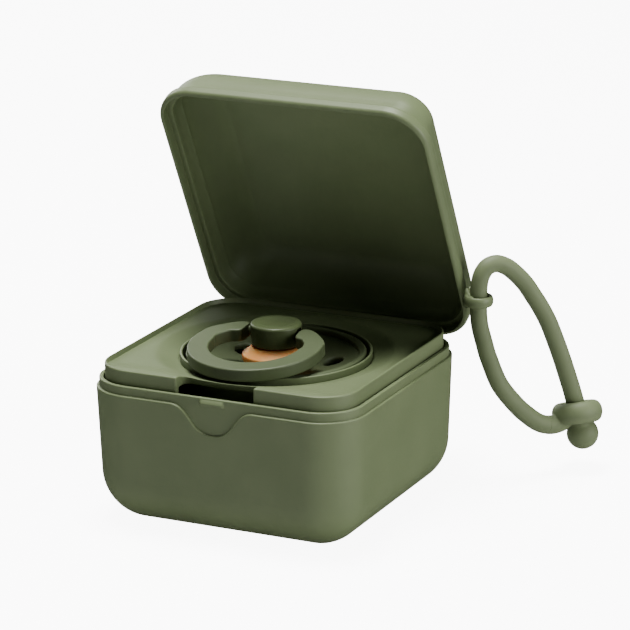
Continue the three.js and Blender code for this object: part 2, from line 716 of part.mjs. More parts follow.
// Half the outline of the bulb, from the neck down to the tip.
function bulbProfile(shrink) {
  const neck = NECK_RADIUS - shrink;
  const bulb = BULB_RADIUS - shrink;
  const low = BASE_HEIGHT - BULB_REACH + shrink;
  const middle = BASE_HEIGHT - BULB_REACH + BULB_RADIUS;
  const shoulder = BASE_HEIGHT - NECK_LENGTH;
  const points = [[neck, shoulder]];
  const first = Math.asin(neck / bulb);
  const share = 0.35;
  points.push([neck + (bulb - neck) * share, (shoulder + middle) / 2 + neck * share]);
  for (let i = 0; i <= 2 * ARC_STEPS; i++) {
    const angle = RIGHT_ANGLE - first * share + ((i / ARC_STEPS) * (RIGHT_ANGLE + first * share)) / 2;
    points.push([bulb * Math.sin(angle), middle + (middle - low) * Math.cos(angle)]);
  }
  points[points.length - 1][0] = 0;
  return points;
}

function pacifierNipple() {
  const seat = shieldFaceAt(FLANGE_SEAT_RADIUS) + SHIELD_THICKNESS + TOUCH_GAP;
  const edge = BASE_HEIGHT + FLANGE_TOP_RISE;
  const top = BASE_HEIGHT + KNOB_FOOT_RISE - TOUCH_GAP;
  const bore = NECK_RADIUS - LATEX_WALL;
  const outside = bulbProfile(0);
  const inside = bulbProfile(LATEX_WALL).toReversed();
  return turned([
    [bore, top],
    [FLANGE_NECK_RADIUS, top],
    [FLANGE_RADIUS, edge],
    [FLANGE_RADIUS, edge - FLANGE_EDGE],
    [FLANGE_SEAT_RADIUS, seat],
    [NECK_RADIUS, seat],
    ...outside,
    ...inside,
  ], SMALL_TURN_STEPS + ARC_STEPS * 2);
}

function pacifierKnob() {
  const top = BASE_HEIGHT + KNOB_TOP_RISE;
  const foot = BASE_HEIGHT + KNOB_FOOT_RISE;
  const stem = NECK_RADIUS - LATEX_WALL - TOUCH_GAP;
  const edge = KNOB_ROUND_RADIUS;
  const rimInner = KNOB_RADIUS - 2 * edge;
  const round = arcStops(3).map((angle) => [
    KNOB_RADIUS - edge * (1 - Math.cos(angle)),
    top - edge * (1 - Math.sin(angle)),
  ]);
  const body = turned([
    [0, foot - STEM_LENGTH],
    [stem - TOUCH_GAP, foot - STEM_LENGTH],
    [stem, foot - STEM_LENGTH + TOUCH_GAP],
    [stem, foot],
    [KNOB_RADIUS - KNOB_TAPER, foot],
    ...round,
    [rimInner, top - KNOB_DISH_DEPTH / 2],
    [0, top - KNOB_DISH_DEPTH],
  ], SMALL_TURN_STEPS + ARC_STEPS * 2);
  const radius = HANDLE_PIN_RADIUS + SOCKET_CLEARANCE;
  const depth = HANDLE_PIN_REACH + TOUCH_GAP + SOCKET_CLEARANCE;
  const z = BASE_HEIGHT + HANDLE_PIVOT_RISE;
  const sockets = [-1, 1].map((side) => {
    const x = side * (KNOB_RADIUS - depth + BOOLEAN_OVERRUN * 2);
    return cylinderAlongX(radius, BOOLEAN_OVERRUN * 4, { x, y: 0, z });
  });
  return body.subtract(sockets[0]).subtract(sockets[1]);
}

// The handle lies flat here, about its own pivot; its group tips it down onto the collar.
function handleArc() {
  const outer = HANDLE_RADIUS;
  const inner = HANDLE_RADIUS - HANDLE_WIDTH;
  const edge = HANDLE_ROUND_RADIUS;
  const half = HANDLE_THICKNESS / 2;
  const hoop = turned([
    [inner + edge, -half],
    [outer - edge, -half],
    [outer, edge - half],
    [outer, half - edge],
    [outer - edge, half],
    [inner + edge, half],
    [inner, half - edge],
    [inner, edge - half],
  ]);
  const gap = KNOB_RADIUS + TOUCH_GAP;
  const mouth = block([-gap, 0, -HANDLE_THICKNESS], [gap, 2 * HANDLE_RADIUS, HANDLE_THICKNESS]);
  const beyondEnds = block(
    [-HANDLE_RADIUS, HANDLE_FORWARD + HANDLE_END_BACK, -HANDLE_THICKNESS],
    [HANDLE_RADIUS, 2 * HANDLE_RADIUS, HANDLE_THICKNESS],
  );
  const reach = KNOB_RADIUS - HANDLE_PIN_REACH;
  const root = gap + HANDLE_WIDTH / 4;
  const pins = [-1, 1].map((side) => {
    const x = (side * (reach + root)) / 2;
    return cylinderAlongX(HANDLE_PIN_RADIUS, root - reach, { x, y: HANDLE_FORWARD, z: 0 });
  });
  return hoop.subtract(mouth).subtract(beyondEnds).add(pins[0]).add(pins[1]);
}

// Strap: each route is a list of points chosen by hand, from the eyelet to its end.

const UPPER_ROUTE = [
  [39.75, 31.0, 46.35],
  [39.8, 31.0, 49.1],
  [39.9, 31.1, 50.9],
  [40.3, 31.5, 53.1],
  [41.3, 32.6, 55.0],
  [42.9, 34.3, 55.6],
  [44.8, 36.2, 54.6],
  [46.4, 37.9, 52.7],
  [48.3, 39.9, 49.7],
  [49.8, 41.4, 46.5],
  [51.1, 42.8, 43.5],
  [52.7, 44.4, 39.2],
  [54.0, 45.8, 34.5],
  [55.2, 47.0, 29.9],
  [56.3, 48.2, 25.1],
  [57.3, 49.2, 20.7],
  [58.2, 50.1, 16.2],
  [58.7, 50.7, 13.2],
];

const LOWER_ROUTE = [
  [39.75, 31.0, 46.05],
  [39.8, 31.0, 43.0],
  [40.0, 31.3, 40.2],
  [40.4, 31.7, 37.9],
  [40.9, 32.1, 35.5],
  [41.3, 32.7, 33.1],
  [41.9, 33.3, 30.7],
  [42.7, 34.1, 27.7],
  [43.6, 35.0, 24.9],
  [44.6, 36.0, 22.7],
  [45.7, 37.2, 20.6],
  [47.6, 39.1, 17.5],
  [48.7, 40.3, 16.0],
  [49.8, 41.5, 14.6],
  [51.0, 42.7, 13.4],
  [52.1, 43.8, 12.7],
  [53.1, 44.8, 12.4],
];

const BALL_CENTRE = [59.53, 51.49, 9.1];
const STRAP_RING_CENTRE = [58.4, 50.32, 15.05];
const STRAP_RING_STUB = [
  [53.35, 45.05, 12.35],
  [54.3, 46.0, 12.3],
  [55.4, 47.1, 13.0],
];

function tube(points, steps) {
  const path = new THREE.CatmullRomCurve3(points.map((p) => new THREE.Vector3(...p)));
  const section = new THREE.Shape();
  for (let i = 0; i < STRAP_SIDES; i++) {
    const angle = (i / STRAP_SIDES) * 2 * Math.PI;
    const x = (STRAP_DIAMETER / 2) * Math.cos(angle);
    const y = (STRAP_DIAMETER / 2) * Math.sin(angle);
    if (i === 0) section.moveTo(x, y);
    else section.lineTo(x, y);
  }
  const options = { steps, bevelEnabled: false, extrudePath: path };
  return solid(new THREE.ExtrudeGeometry(section, options));
}

function strapBall() {
  const sphere = new THREE.SphereGeometry(BALL_RADIUS, SMALL_TURN_STEPS, SMALL_TURN_STEPS / 2);
  return solid(sphere.translate(...BALL_CENTRE));
}

function strapRing() {
  const torus = new THREE.TorusGeometry(
    STRAP_RING_MIDDLE_RADIUS, STRAP_RING_SECTION_RADIUS, 2 * ARC_STEPS, SMALL_TURN_STEPS,
  );
  const centre = new THREE.Vector3(...STRAP_RING_CENTRE);
  const axis = new THREE.Vector3(...BALL_CENTRE).sub(centre).normalize();
  const turn = new THREE.Quaternion().setFromUnitVectors(new THREE.Vector3(0, 0, 1), axis);
  torus.applyQuaternion(turn).translate(centre.x, centre.y, centre.z);
  return solid(torus).add(tube(STRAP_RING_STUB, ARC_STEPS));
}

// Materials

function plastic(color, roughness) {
  return new THREE.MeshStandardMaterial({ color, roughness, metalness: 0 });
}

const SAGE_PLASTIC = [0x77836a, 0.55];
const SAGE_SILICONE = [0x75806a, 0.7];
const AMBER_LATEX = [0xb9804f, 0.5];

function piece(name, manifold, [color, roughness]) {
  const mesh = new THREE.Mesh(geometryOf(manifold), plastic(color, roughness));
  mesh.name = name;
  return mesh;
}

// Assembly

const box = new THREE.Group();
box.add(piece("base_shell", baseShell(), SAGE_PLASTIC));
box.add(piece("hinge_pin", hingePin(), SAGE_PLASTIC));
box.add(piece("tray", tray(), SAGE_PLASTIC));

const lidHinge = new THREE.Group();
lidHinge.position.set(0, HINGE_Y, HINGE_Z);
lidHinge.rotation.x = -THREE.MathUtils.degToRad(LID_OPEN_DEG);
const lidShellMesh = piece("lid_shell", lidShell(), SAGE_PLASTIC);
lidShellMesh.position.set(0, -HINGE_Y, -HINGE_Z);
lidHinge.add(lidShellMesh);
box.add(lidHinge);

const pacifier = new THREE.Group();
pacifier.add(piece("pacifier_shield", pacifierShield(), SAGE_PLASTIC));
pacifier.add(piece("pacifier_nipple", pacifierNipple(), AMBER_LATEX));
pacifier.add(piece("pacifier_knob", pacifierKnob(), SAGE_PLASTIC));
const handlePivot = new THREE.Group();
handlePivot.position.set(0, 0, BASE_HEIGHT + HANDLE_PIVOT_RISE);
handlePivot.rotation.x = HANDLE_REST_ANGLE;
const handleMesh = piece("pacifier_handle", handleArc(), SAGE_PLASTIC);
handleMesh.position.set(0, -HANDLE_FORWARD, 0);
handlePivot.add(handleMesh);
pacifier.add(handlePivot);
box.add(pacifier);

const strap = new THREE.Group();
strap.add(piece("strap_upper", tube(UPPER_ROUTE, UPPER_STRAP_STEPS), SAGE_SILICONE));
strap.add(piece("strap_lower", tube(LOWER_ROUTE, LOWER_STRAP_STEPS), SAGE_SILICONE));
strap.add(piece("strap_ring", strapRing(), SAGE_SILICONE));
strap.add(piece("strap_ball", strapBall(), SAGE_SILICONE));
box.add(strap);

export default box;
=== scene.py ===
# Pacifier box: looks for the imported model. Sizes are in millimetres unless a name says otherwise,
# and pieces are made in metres in the model's own frame, +Z up, hinge at the back (+Y).

import math

import bmesh
import bpy
import numpy as np
from mathutils import Matrix, Vector


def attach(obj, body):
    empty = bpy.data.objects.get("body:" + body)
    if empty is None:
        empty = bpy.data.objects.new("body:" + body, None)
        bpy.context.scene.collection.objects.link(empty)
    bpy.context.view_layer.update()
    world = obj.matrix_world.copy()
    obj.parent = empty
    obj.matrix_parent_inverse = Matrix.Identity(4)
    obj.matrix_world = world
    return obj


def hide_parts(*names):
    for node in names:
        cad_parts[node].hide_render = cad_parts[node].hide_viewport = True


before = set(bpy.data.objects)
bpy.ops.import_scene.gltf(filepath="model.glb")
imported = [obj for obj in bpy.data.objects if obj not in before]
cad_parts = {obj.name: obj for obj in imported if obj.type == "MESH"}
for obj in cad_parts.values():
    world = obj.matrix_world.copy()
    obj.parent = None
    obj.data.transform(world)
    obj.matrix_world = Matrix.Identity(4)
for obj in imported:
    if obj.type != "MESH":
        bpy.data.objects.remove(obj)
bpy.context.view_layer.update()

MM = 0.001
RIGHT_ANGLE = math.pi / 2

# Driving sizes, as in the model
BOX_WIDTH = 70
BOX_CORNER_RADIUS = 11.4
SHOULDER = 33.5
LID_OPEN_DEG = 63.25
TOUCH_GAP = 0.3
BOX_HALF = BOX_WIDTH / 2
CORNER_CENTRE = BOX_HALF - BOX_CORNER_RADIUS

def placed(name, data):
    """A new object in the scene."""
    made = bpy.data.objects.new(name, data)
    bpy.context.scene.collection.objects.link(made)
    return made


# Camera, fitted to the outlines in the photograph
CAMERA_PLACE = (353.07, -711.63, 286.34)
CAMERA_TARGET = (10.43, 0, 48.02)
CAMERA_ROLL_DEG = -0.53
FOCAL_LENGTH_PX = 3448.83
PHOTO_WIDTH_PX = 630
SENSOR_WIDTH = 36
CAMERA_CLIP_METRES = (0.05, 20)


def make_camera():
    place = Vector(CAMERA_PLACE) * MM
    back = (place - Vector(CAMERA_TARGET) * MM).normalized()
    right = Vector((0, 0, 1)).cross(back).normalized()
    up = back.cross(right)
    roll = math.radians(CAMERA_ROLL_DEG)
    rolled_right = right * math.cos(roll) + up * math.sin(roll)
    rolled_up = up * math.cos(roll) - right * math.sin(roll)
    axes = Matrix((rolled_right, rolled_up, back)).transposed().to_4x4()
    data = bpy.data.cameras.new("camera")
    data.sensor_fit = "HORIZONTAL"
    data.sensor_width = SENSOR_WIDTH
    data.lens = FOCAL_LENGTH_PX / PHOTO_WIDTH_PX * SENSOR_WIDTH
    data.clip_start, data.clip_end = CAMERA_CLIP_METRES
    camera = placed("camera", data)
    camera.matrix_world = Matrix.Translation(place) @ axes
    bpy.context.scene.camera = camera


make_camera()

# Mesh helpers

SHARP_DEG = 40
BAR_EDGE_DEG = 50
FIRST_SIDE = (0.3, 0.5, 0.81)
TURN_STEPS = 160


def mesh_object(name, points, faces):
    """A mesh from points in millimetres, with smooth faces that all face outward."""
    mesh = bpy.data.meshes.new(name)
    mesh.from_pydata((np.asarray(points, float) * MM).tolist(), [], faces)
    face_outward(mesh)
    return placed(name, mesh)


def smooth_faces(mesh):
    mesh.polygons.foreach_set("use_smooth", [True] * len(mesh.polygons))


def face_outward(mesh):
    work = bmesh.new()
    work.from_mesh(mesh)
    bmesh.ops.recalc_face_normals(work, faces=work.faces)
    work.to_mesh(mesh)
    work.free()
    smooth_faces(mesh)


def modified(made, kind, **settings):
    """made with one more modifier."""
    modifier = made.modifiers.new(kind.lower(), kind)
    for setting, value in settings.items():
        setattr(modifier, setting, value)
    return made


def edge_rounded(made, width, least_deg):
    """made with a round along each edge sharper than an angle."""
    limit = math.radians(least_deg)
    return modified(made, "BEVEL", width=width * MM, segments=3, limit_method="ANGLE", angle_limit=limit)


def even_shading(made, sharp_deg=SHARP_DEG):
    """Shades large flats as flats and small rounds as rounds, with true edges kept sharp."""
    made.data.set_sharp_from_angle(angle=math.radians(sharp_deg))
    return modified(made, "WEIGHTED_NORMAL", keep_sharp=True, weight=100)


def grid_faces(rows, columns, close_rows=False, skip=None):
    """Quads between rows of points, each row a closed loop. skip(i, j) leaves a quad out."""
    faces = []
    for i in range(rows if close_rows else rows - 1):
        below = i * columns
        above = ((i + 1) % rows) * columns
        for j in range(columns):
            if skip and skip(i, j):
                continue
            k = (j + 1) % columns
            faces.append((below + j, below + k, above + k, above + j))
    return faces


def capped_loft(name, loops, ends=None):
    """A closed solid through loops of points, with its first and last loops closed by fans."""
    count = len(loops[0])
    points = np.concatenate(loops)
    faces = grid_faces(len(loops), count)
    if ends is None:
        ends = (loops[0].mean(0), loops[-1].mean(0))
    start = len(points)
    last = start - count
    points = np.concatenate([points, np.asarray(ends, float)])
    for j in range(count):
        k = (j + 1) % count
        faces.append((start, k, j))
        faces.append((start + 1, last + j, last + k))
    return mesh_object(name, points, faces)


def rounded(corners, steps=5, closed=True):
    """An outline of (a, b) or (a, b, radius) corners, with an arc at each corner that has a radius."""
    outline = []
    count = len(corners)
    for i in range(count):
        corner = corners[i]
        here = np.array(corner[:2], float)
        at_end = not closed and i in (0, count - 1)
        if len(corner) < 3 or at_end:
            outline.append(here)
            continue
        radius = corner[2]
        before = np.array(corners[i - 1][:2], float) - here
        after = np.array(corners[(i + 1) % count][:2], float) - here
        before /= np.linalg.norm(before)
        after /= np.linalg.norm(after)
        half_angle = math.acos(float(np.clip(before @ after, -1, 1))) / 2
        bisector = (before + after) / np.linalg.norm(before + after)
        centre = here + bisector * radius / math.sin(half_angle)
        start = here + before * radius / math.tan(half_angle) - centre
        stop = here + after * radius / math.tan(half_angle) - centre
        turn = math.pi - 2 * half_angle
        for step in range(steps + 1):
            share = step / steps
            mixed = math.sin((1 - share) * turn) * start + math.sin(share * turn) * stop
            outline.append(centre + mixed / math.sin(turn))
    return np.array(outline)


def full_turn(steps):
    return np.linspace(0, 2 * math.pi, steps, endpoint=False)


def rings_about_z(outline, steps):
    """A ring of points about the Z axis for each (radius, height) of an outline."""
    angles = full_turn(steps)
    circle = np.column_stack([np.cos(angles), np.sin(angles)])
    return [np.column_stack([radius * circle, np.full(steps, z)]) for radius, z in outline]


def turned(name, outline, steps=TURN_STEPS):
    """A closed (radius, height) outline turned about the Z axis."""
    loops = rings_about_z(outline, steps)
    return mesh_object(name, np.concatenate(loops), grid_faces(len(loops), steps, close_rows=True))


def turned_capped(name, outline, steps=TURN_STEPS):
    """An open (radius, height) outline turned about the Z axis, closed at both ends on the axis."""
    ends = [(0, 0, outline[0][1]), (0, 0, outline[-1][1])]
    return capped_loft(name, rings_about_z(outline[1:-1], steps), ends)


def smooth_curve(points, spacing):
    """Points along a Catmull-Rom curve through the given points."""
    p = np.asarray(points, float)
    p = np.concatenate([[2 * p[0] - p[1]], p, [2 * p[-1] - p[-2]]])
    curve = []
    for i in range(1, len(p) - 2):
        steps = max(2, round(float(np.linalg.norm(p[i + 1] - p[i])) / spacing))
        knots = [0.0]
        for k in range(3):
            knots.append(knots[-1] + float(np.linalg.norm(p[i + k] - p[i + k - 1])) ** 0.5)
        t0, t1, t2, t3 = knots
        for t in np.linspace(t1, t2, steps, endpoint=False):
            a1 = (t1 - t) / (t1 - t0) * p[i - 1] + (t - t0) / (t1 - t0) * p[i]
            a2 = (t2 - t) / (t2 - t1) * p[i] + (t - t1) / (t2 - t1) * p[i + 1]
            a3 = (t3 - t) / (t3 - t2) * p[i + 1] + (t - t2) / (t3 - t2) * p[i + 2]
            b1 = (t2 - t) / (t2 - t0) * a1 + (t - t0) / (t2 - t0) * a2
            b2 = (t3 - t) / (t3 - t1) * a2 + (t - t1) / (t3 - t1) * a3
            curve.append((t2 - t) / (t2 - t1) * b1 + (t - t1) / (t2 - t1) * b2)
    curve.append(p[-2])
    return np.array(curve)


def bezier(controls, steps=24):
    p = np.array(controls, float)
    t = np.linspace(0, 1, steps)[:, None]
    return (1 - t) ** 3 * p[0] + 3 * (1 - t) ** 2 * t * p[1] + 3 * (1 - t) * t**2 * p[2] + t**3 * p[3]


def tube(name, path, radius, sides=32):
    """A round tube along a path, its section carried along without twist."""
    radii = np.broadcast_to(radius, len(path))
    tangents = np.gradient(path, axis=0)
    tangents /= np.linalg.norm(tangents, axis=1)[:, None]
    side = np.cross(tangents[0], FIRST_SIDE)
    angles = full_turn(sides)
    loops = []
    for place, tangent, reach in zip(path, tangents, radii):
        side = side - tangent * (side @ tangent)
        side /= np.linalg.norm(side)
        other = np.cross(tangent, side)
        ring = np.outer(np.cos(angles), side) + np.outer(np.sin(angles), other)
        loops.append(place + reach * ring)
    return capped_loft(name, loops, (path[0], path[-1]))


def bar_along_x(name, outline, length, x, bevel=0):
    """A (y, z) outline drawn out along X, with its edges rounded where a bevel is given."""
    outline = np.asarray(outline, float)
    count = len(outline)
    loops = []
    for place in (x - length / 2, x + length / 2):
        loops.append(np.column_stack([np.full(count, place), outline]))
    made = capped_loft(name, loops)
    return edge_rounded(made, bevel, BAR_EDGE_DEG) if bevel else made


def removed(name, body, cutters):
    """body with the cutters' space taken out of it."""
    for cutter in cutters:
        modified(body, "BOOLEAN", operation="DIFFERENCE", solver="EXACT", object=cutter)
    return baked(name, body, cutters)


def baked(name, body, helpers=()):
    """body with its modifiers worked in, and the helper objects dropped."""
    bpy.context.view_layer.update()
    seen = body.evaluated_get(bpy.context.evaluated_depsgraph_get())
    mesh = bpy.data.meshes.new_from_object(seen)
    for spare in (body, *helpers):
        bpy.data.objects.remove(spare)
    mesh.name = name
    smooth_faces(mesh)
    return placed(name, mesh)


def melted(name, parts, voxel, smoothing):
    """Parts grown into one skin with soft joins, as a moulding has."""
    work = bmesh.new()
    for part in parts:
        work.from_mesh(part.data)
        bpy.data.objects.remove(part)
    mesh = bpy.data.meshes.new(name)
    work.to_mesh(mesh)
    work.free()
    body = placed(name + "_parts", mesh)
    modified(body, "REMESH", mode="VOXEL", voxel_size=voxel * MM)
    modified(body, "SMOOTH", factor=0.5, iterations=smoothing)
    return baked(name, body)


def smooth_step(x, low, high):
    share = np.clip((np.asarray(x, float) - low) / (high - low), 0, 1)
    return share * share * (3 - 2 * share)


def smooth_least(a, b, width):
    """The lesser of two heights, with the crease between them rounded."""
    share = np.clip(0.5 + 0.5 * (b - a) / width, 0, 1)
    return b * (1 - share) + a * share - width * share * (1 - share)


# Rounded squares: one set of stations round the box serves the rings of base, lid and tray

CORNER_STEPS = 20


def box_stations(front_stops, side_stops):
    """Places round a rounded square: its corner centres, outward directions and distances along a side."""
    anchors, directions, along, sides = [], [], [], []
    for side in range(4):
        stops = front_stops if side == 0 else side_stops
        pattern = [((stop / CORNER_CENTRE, -1), (0, -1), stop) for stop in stops]
        for angle in np.linspace(-RIGHT_ANGLE, 0, CORNER_STEPS + 1):
            pattern.append(((1, -1), (math.cos(angle), math.sin(angle)), BOX_WIDTH))
        for anchor, direction, stop in pattern:
            for _ in range(side):
                anchor = (-anchor[1], anchor[0])
                direction = (-direction[1], direction[0])
            anchors.append(anchor)
            directions.append(direction)
            along.append(stop)
            sides.append(side)
    return {
        "anchors": np.array(anchors, float),
        "directions": np.array(directions, float),
        "along": np.array(along, float),
        "side": np.array(sides),
    }


def box_ring(stations, half, radius, z, out=0):
    """A ring of points on a rounded square, each moved outward by out."""
    count = len(stations["along"])
    centre = np.broadcast_to(np.asarray(half - radius, float), count)[:, None]
    reach = np.broadcast_to(np.asarray(radius + out, float), count)[:, None]
    xy = centre * stations["anchors"] + reach * stations["directions"]
    return np.column_stack([xy, np.broadcast_to(np.asarray(z, float), count)])


def concentric_ring(stations, half, z, out=0):
    return box_ring(stations, half, half - CORNER_CENTRE, z, out)


def from_front_middle(stations):
    """How far along the front each station lies from its middle, with the other sides taken as far off."""
    return np.where(stations["side"] == 0, np.abs(stations["along"]), BOX_WIDTH)


def quarter_round(steps):
    """(sine, 1 - cosine) pairs from 0 to 90 degrees."""
    return [(math.sin(a), 1 - math.cos(a)) for a in np.linspace(0, RIGHT_ANGLE, steps + 1)]


# Strap: the two free stretches of one silicone strap, both out of the eyelet on the lid.
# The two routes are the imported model's own.

STRAP_DIAMETER = 4.3
STRAP_THIN_SHARE = 0.98
STRAP_THICK_SHARE = 1.08
STRAP_SPACING = 0.6
STRAP_SLEEVE = 0.06

UPPER_ROUTE = [
    (39.75, 31.0, 46.35), (39.8, 31.0, 49.1), (39.9, 31.1, 50.9), (40.3, 31.5, 53.1), (41.3, 32.6, 55.0),
    (42.9, 34.3, 55.6), (44.8, 36.2, 54.6), (46.4, 37.9, 52.7), (48.3, 39.9, 49.7), (49.8, 41.4, 46.5),
    (51.1, 42.8, 43.5), (52.7, 44.4, 39.2), (54.0, 45.8, 34.5), (55.2, 47.0, 29.9), (56.3, 48.2, 25.1),
    (57.3, 49.2, 20.7), (58.2, 50.1, 16.2), (58.7, 50.7, 13.2),
]

LOWER_ROUTE = [
    (39.75, 31.0, 46.05), (39.8, 31.0, 43.0), (40.0, 31.3, 40.2), (40.4, 31.7, 37.9), (40.9, 32.1, 35.5),
    (41.3, 32.7, 33.1), (41.9, 33.3, 30.7), (42.7, 34.1, 27.7), (43.6, 35.0, 24.9), (44.6, 36.0, 22.7),
    (45.7, 37.2, 20.6), (47.6, 39.1, 17.5), (48.7, 40.3, 16.0), (49.8, 41.5, 14.6), (51.0, 42.7, 13.4),
    (52.1, 43.8, 12.7), (53.1, 44.8, 12.4),
]

STRAP_RING_STUB = [
    (52.6, 44.3, 12.53), (53.1, 44.8, 12.4), (54.3, 46.0, 12.4), (55.5, 47.1, 12.9), (56.6, 48.2, 14.0),
]

BALL_CENTRE = (59.43, 51.45, 9.05)
BALL_RADIUS = 3.98
BALL_NECK_STEP = 0.25
BALL_NECK_SPREAD_SHARE = 1.01
BALL_NECK_TURN_SHARE = 1.35
STRAP_RING_CENTRE = (58.25, 50.55, 14.6)
STRAP_RING_AXIS = (0.22, -0.19, -0.957)
STRAP_RING_MIDDLE_RADIUS = 4.35
STRAP_RING_HALF_WIDTH = 2.0
STRAP_RING_HALF_HEIGHT = 2.75
STRAP_RING_VOXEL = 0.22
STRAP_RING_SMOOTHINGS = 6


def strap_stretch(name, route):
    path = smooth_curve(route, STRAP_SPACING)
    shares = np.linspace(STRAP_THIN_SHARE, STRAP_THICK_SHARE, len(path))
    piece = tube(name + "_skin", path, shares * STRAP_DIAMETER / 2)
    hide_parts(name)
    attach(piece, "strap")
    return piece


strap_pieces = [
    strap_stretch("strap_upper", UPPER_ROUTE),
    strap_stretch("strap_lower", LOWER_ROUTE),
]


def aimed(made, centre, toward):
    """Turns a piece made about Z at the origin to point toward a place, with its middle at centre."""
    centre = Vector(centre)
    turn = (Vector(toward) - centre).to_track_quat("Z", "Y").to_matrix().to_4x4()
    made.data.transform(Matrix.Translation(centre * MM) @ turn)
    return made


def torus(name, middle_radius, section, steps=96):
    """A ring about Z with the given (radius, height) section round its middle."""
    return turned(name, [(middle_radius + a, b) for a, b in section], steps)


def round_section(radius, steps=32):
    return [(radius * math.cos(a), radius * math.sin(a)) for a in full_turn(steps)]


def strap_ring():
    section = [(a * STRAP_RING_HALF_WIDTH, b * STRAP_RING_HALF_HEIGHT) for a, b in round_section(1)]
    ring = torus("strap_ring_hoop", STRAP_RING_MIDDLE_RADIUS, section)
    aimed(ring, STRAP_RING_CENTRE, np.add(STRAP_RING_CENTRE, STRAP_RING_AXIS))
    tail = smooth_curve(STRAP_RING_STUB, STRAP_SPACING)
    stub = tube("strap_ring_tail", tail, STRAP_THICK_SHARE * STRAP_DIAMETER / 2 + STRAP_SLEEVE)
    return melted("strap_ring_skin", [ring, stub], STRAP_RING_VOXEL, STRAP_RING_SMOOTHINGS)


def strap_ball():
    """A ball that narrows to the strap's thickness where the strap comes out of it."""
    strap_radius = STRAP_THICK_SHARE * STRAP_DIAMETER / 2
    neck = float(np.linalg.norm(np.subtract(UPPER_ROUTE[-1], BALL_CENTRE)))
    start = math.asin(strap_radius / BALL_RADIUS) * BALL_NECK_TURN_SHARE
    outline = [(0, neck), (strap_radius, neck)]
    outline.append((strap_radius * BALL_NECK_SPREAD_SHARE, neck - BALL_NECK_STEP))
    for angle in np.linspace(start, math.pi, 40):
        outline.append((BALL_RADIUS * math.sin(angle), BALL_RADIUS * math.cos(angle)))
    ball = turned_capped("strap_ball_skin", outline, 64)
    return aimed(ball, BALL_CENTRE, UPPER_ROUTE[-1])


strap_ends = [strap_ring(), strap_ball()]
for piece, node in zip(strap_ends, ("strap_ring", "strap_ball")):
    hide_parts(node)
    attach(piece, "strap")

# Base shell: one skin from the foot up over the shoulder and rim, and down the inside

BASE_DRAFT = 1
BASE_WALL = 1.8
BASE_FLOOR = 2
FOOT_ROUND_RADIUS = 12
LEAST_CORNER_RADIUS = 1
SHOULDER_ROUND = 0.35
RIM_INSET = 0.7
RIM_HEIGHT = 2.2
RIM_ROUND = 0.28
RIM_FOOT_ROUND = 0.12
RIM_TOP = SHOULDER + RIM_HEIGHT
RIM_HALF = BOX_HALF - RIM_INSET

DIP_HALF_WIDTH = 10.8
DIP_DEPTH = 6.7
DIP_START_SHARES = (0.78, 0.66, 0.52)
DIP_END_SHARES = (0.38, 0.26)
DIP_BEND_DROP_SHARE = 0.24
DIP_KNEE_DROP_SHARE = 0.54
DIP_LOWER_DROP_SHARE = 0.86

SNAP_HALF_WIDTH = 3.1
SNAP_REACH = 0.66
SNAP_END_ROUND = 0.55
SNAP_BULGE_SHARE = 0.35
SNAP_FOOT_RISE = 0.2
SNAP_TOP = RIM_TOP - 0.33
SNAP_SLOPE_HEIGHT = 0.85
SNAP_FACE_HEIGHT = 0.6

STOP_SPACING = 34
STOP_HALF_WIDTH = 1.1
STOP_REACH = 1.7
STOP_TOP = 25.2
EDGE_BLEND = 0.15
ROWS_OVER_STOPS = (30, 27)
ROWS_UNDER_STOPS = (20, 16)

RIB_EDGE_STOPS = (-1.4, -1.2, -1.0, -0.8, -0.3, 0.3, 0.8, 1.0, 1.2, 1.4)
EVEN_STEP = 2.2
DIP_STEP = 0.27
FINE_HALF_WIDTH = 12
EVEN_STOPS = [EVEN_STEP * i for i in range(-10, 11)]
WALL_STOPS = sorted(EVEN_STOPS + [s * STOP_SPACING / 2 + e for s in (-1, 1) for e in RIB_EDGE_STOPS])
DIP_STOPS = [DIP_STEP * i for i in range(-42, 43)]
BASE_FRONT_STOPS = sorted([s for s in WALL_STOPS if abs(s) > FINE_HALF_WIDTH] + DIP_STOPS)


def base_half_at(z):
    return BOX_HALF - BASE_DRAFT * (1 - min(z, SHOULDER) / SHOULDER)


def shoulder_heights(stations):
    """The shoulder's height at each station, with the thumb dip in the front."""
    half, low = DIP_HALF_WIDTH, SHOULDER - DIP_DEPTH
    knee = SHOULDER - DIP_DEPTH * DIP_KNEE_DROP_SHARE
    bend = SHOULDER - DIP_DEPTH * DIP_BEND_DROP_SHARE
    lower = SHOULDER - DIP_DEPTH * DIP_LOWER_DROP_SHARE
    a, b, c = (half * share for share in DIP_START_SHARES)
    d, e = (half * share for share in DIP_END_SHARES)
    upper_curve = bezier([(half, SHOULDER), (a, SHOULDER), (b, bend), (c, knee)])
    lower_curve = bezier([(c, knee), (d, lower), (e, low), (0, low)])
    curve = np.concatenate([upper_curve, lower_curve[1:]])[::-1]
    return np.interp(from_front_middle(stations), curve[:, 0], curve[:, 1])


def snap_reach(stations, z):
    """How far the snap stands out of the rim: a slope down from the rim's edge, then a short face."""
    past = from_front_middle(stations) - SNAP_HALF_WIDTH + SNAP_END_ROUND
    across = np.sqrt(1 - np.clip(past / SNAP_END_ROUND, 0, 1) ** 2)
    down = SNAP_TOP - z
    slope = np.clip(down / SNAP_SLOPE_HEIGHT, 0, 1)
    slope = slope * (1 + SNAP_BULGE_SHARE - SNAP_BULGE_SHARE * slope)
    end = SNAP_SLOPE_HEIGHT + SNAP_FACE_HEIGHT
    under = 1 - smooth_step(down, end - EDGE_BLEND, end + 0.1)
    return SNAP_REACH * across * slope * under


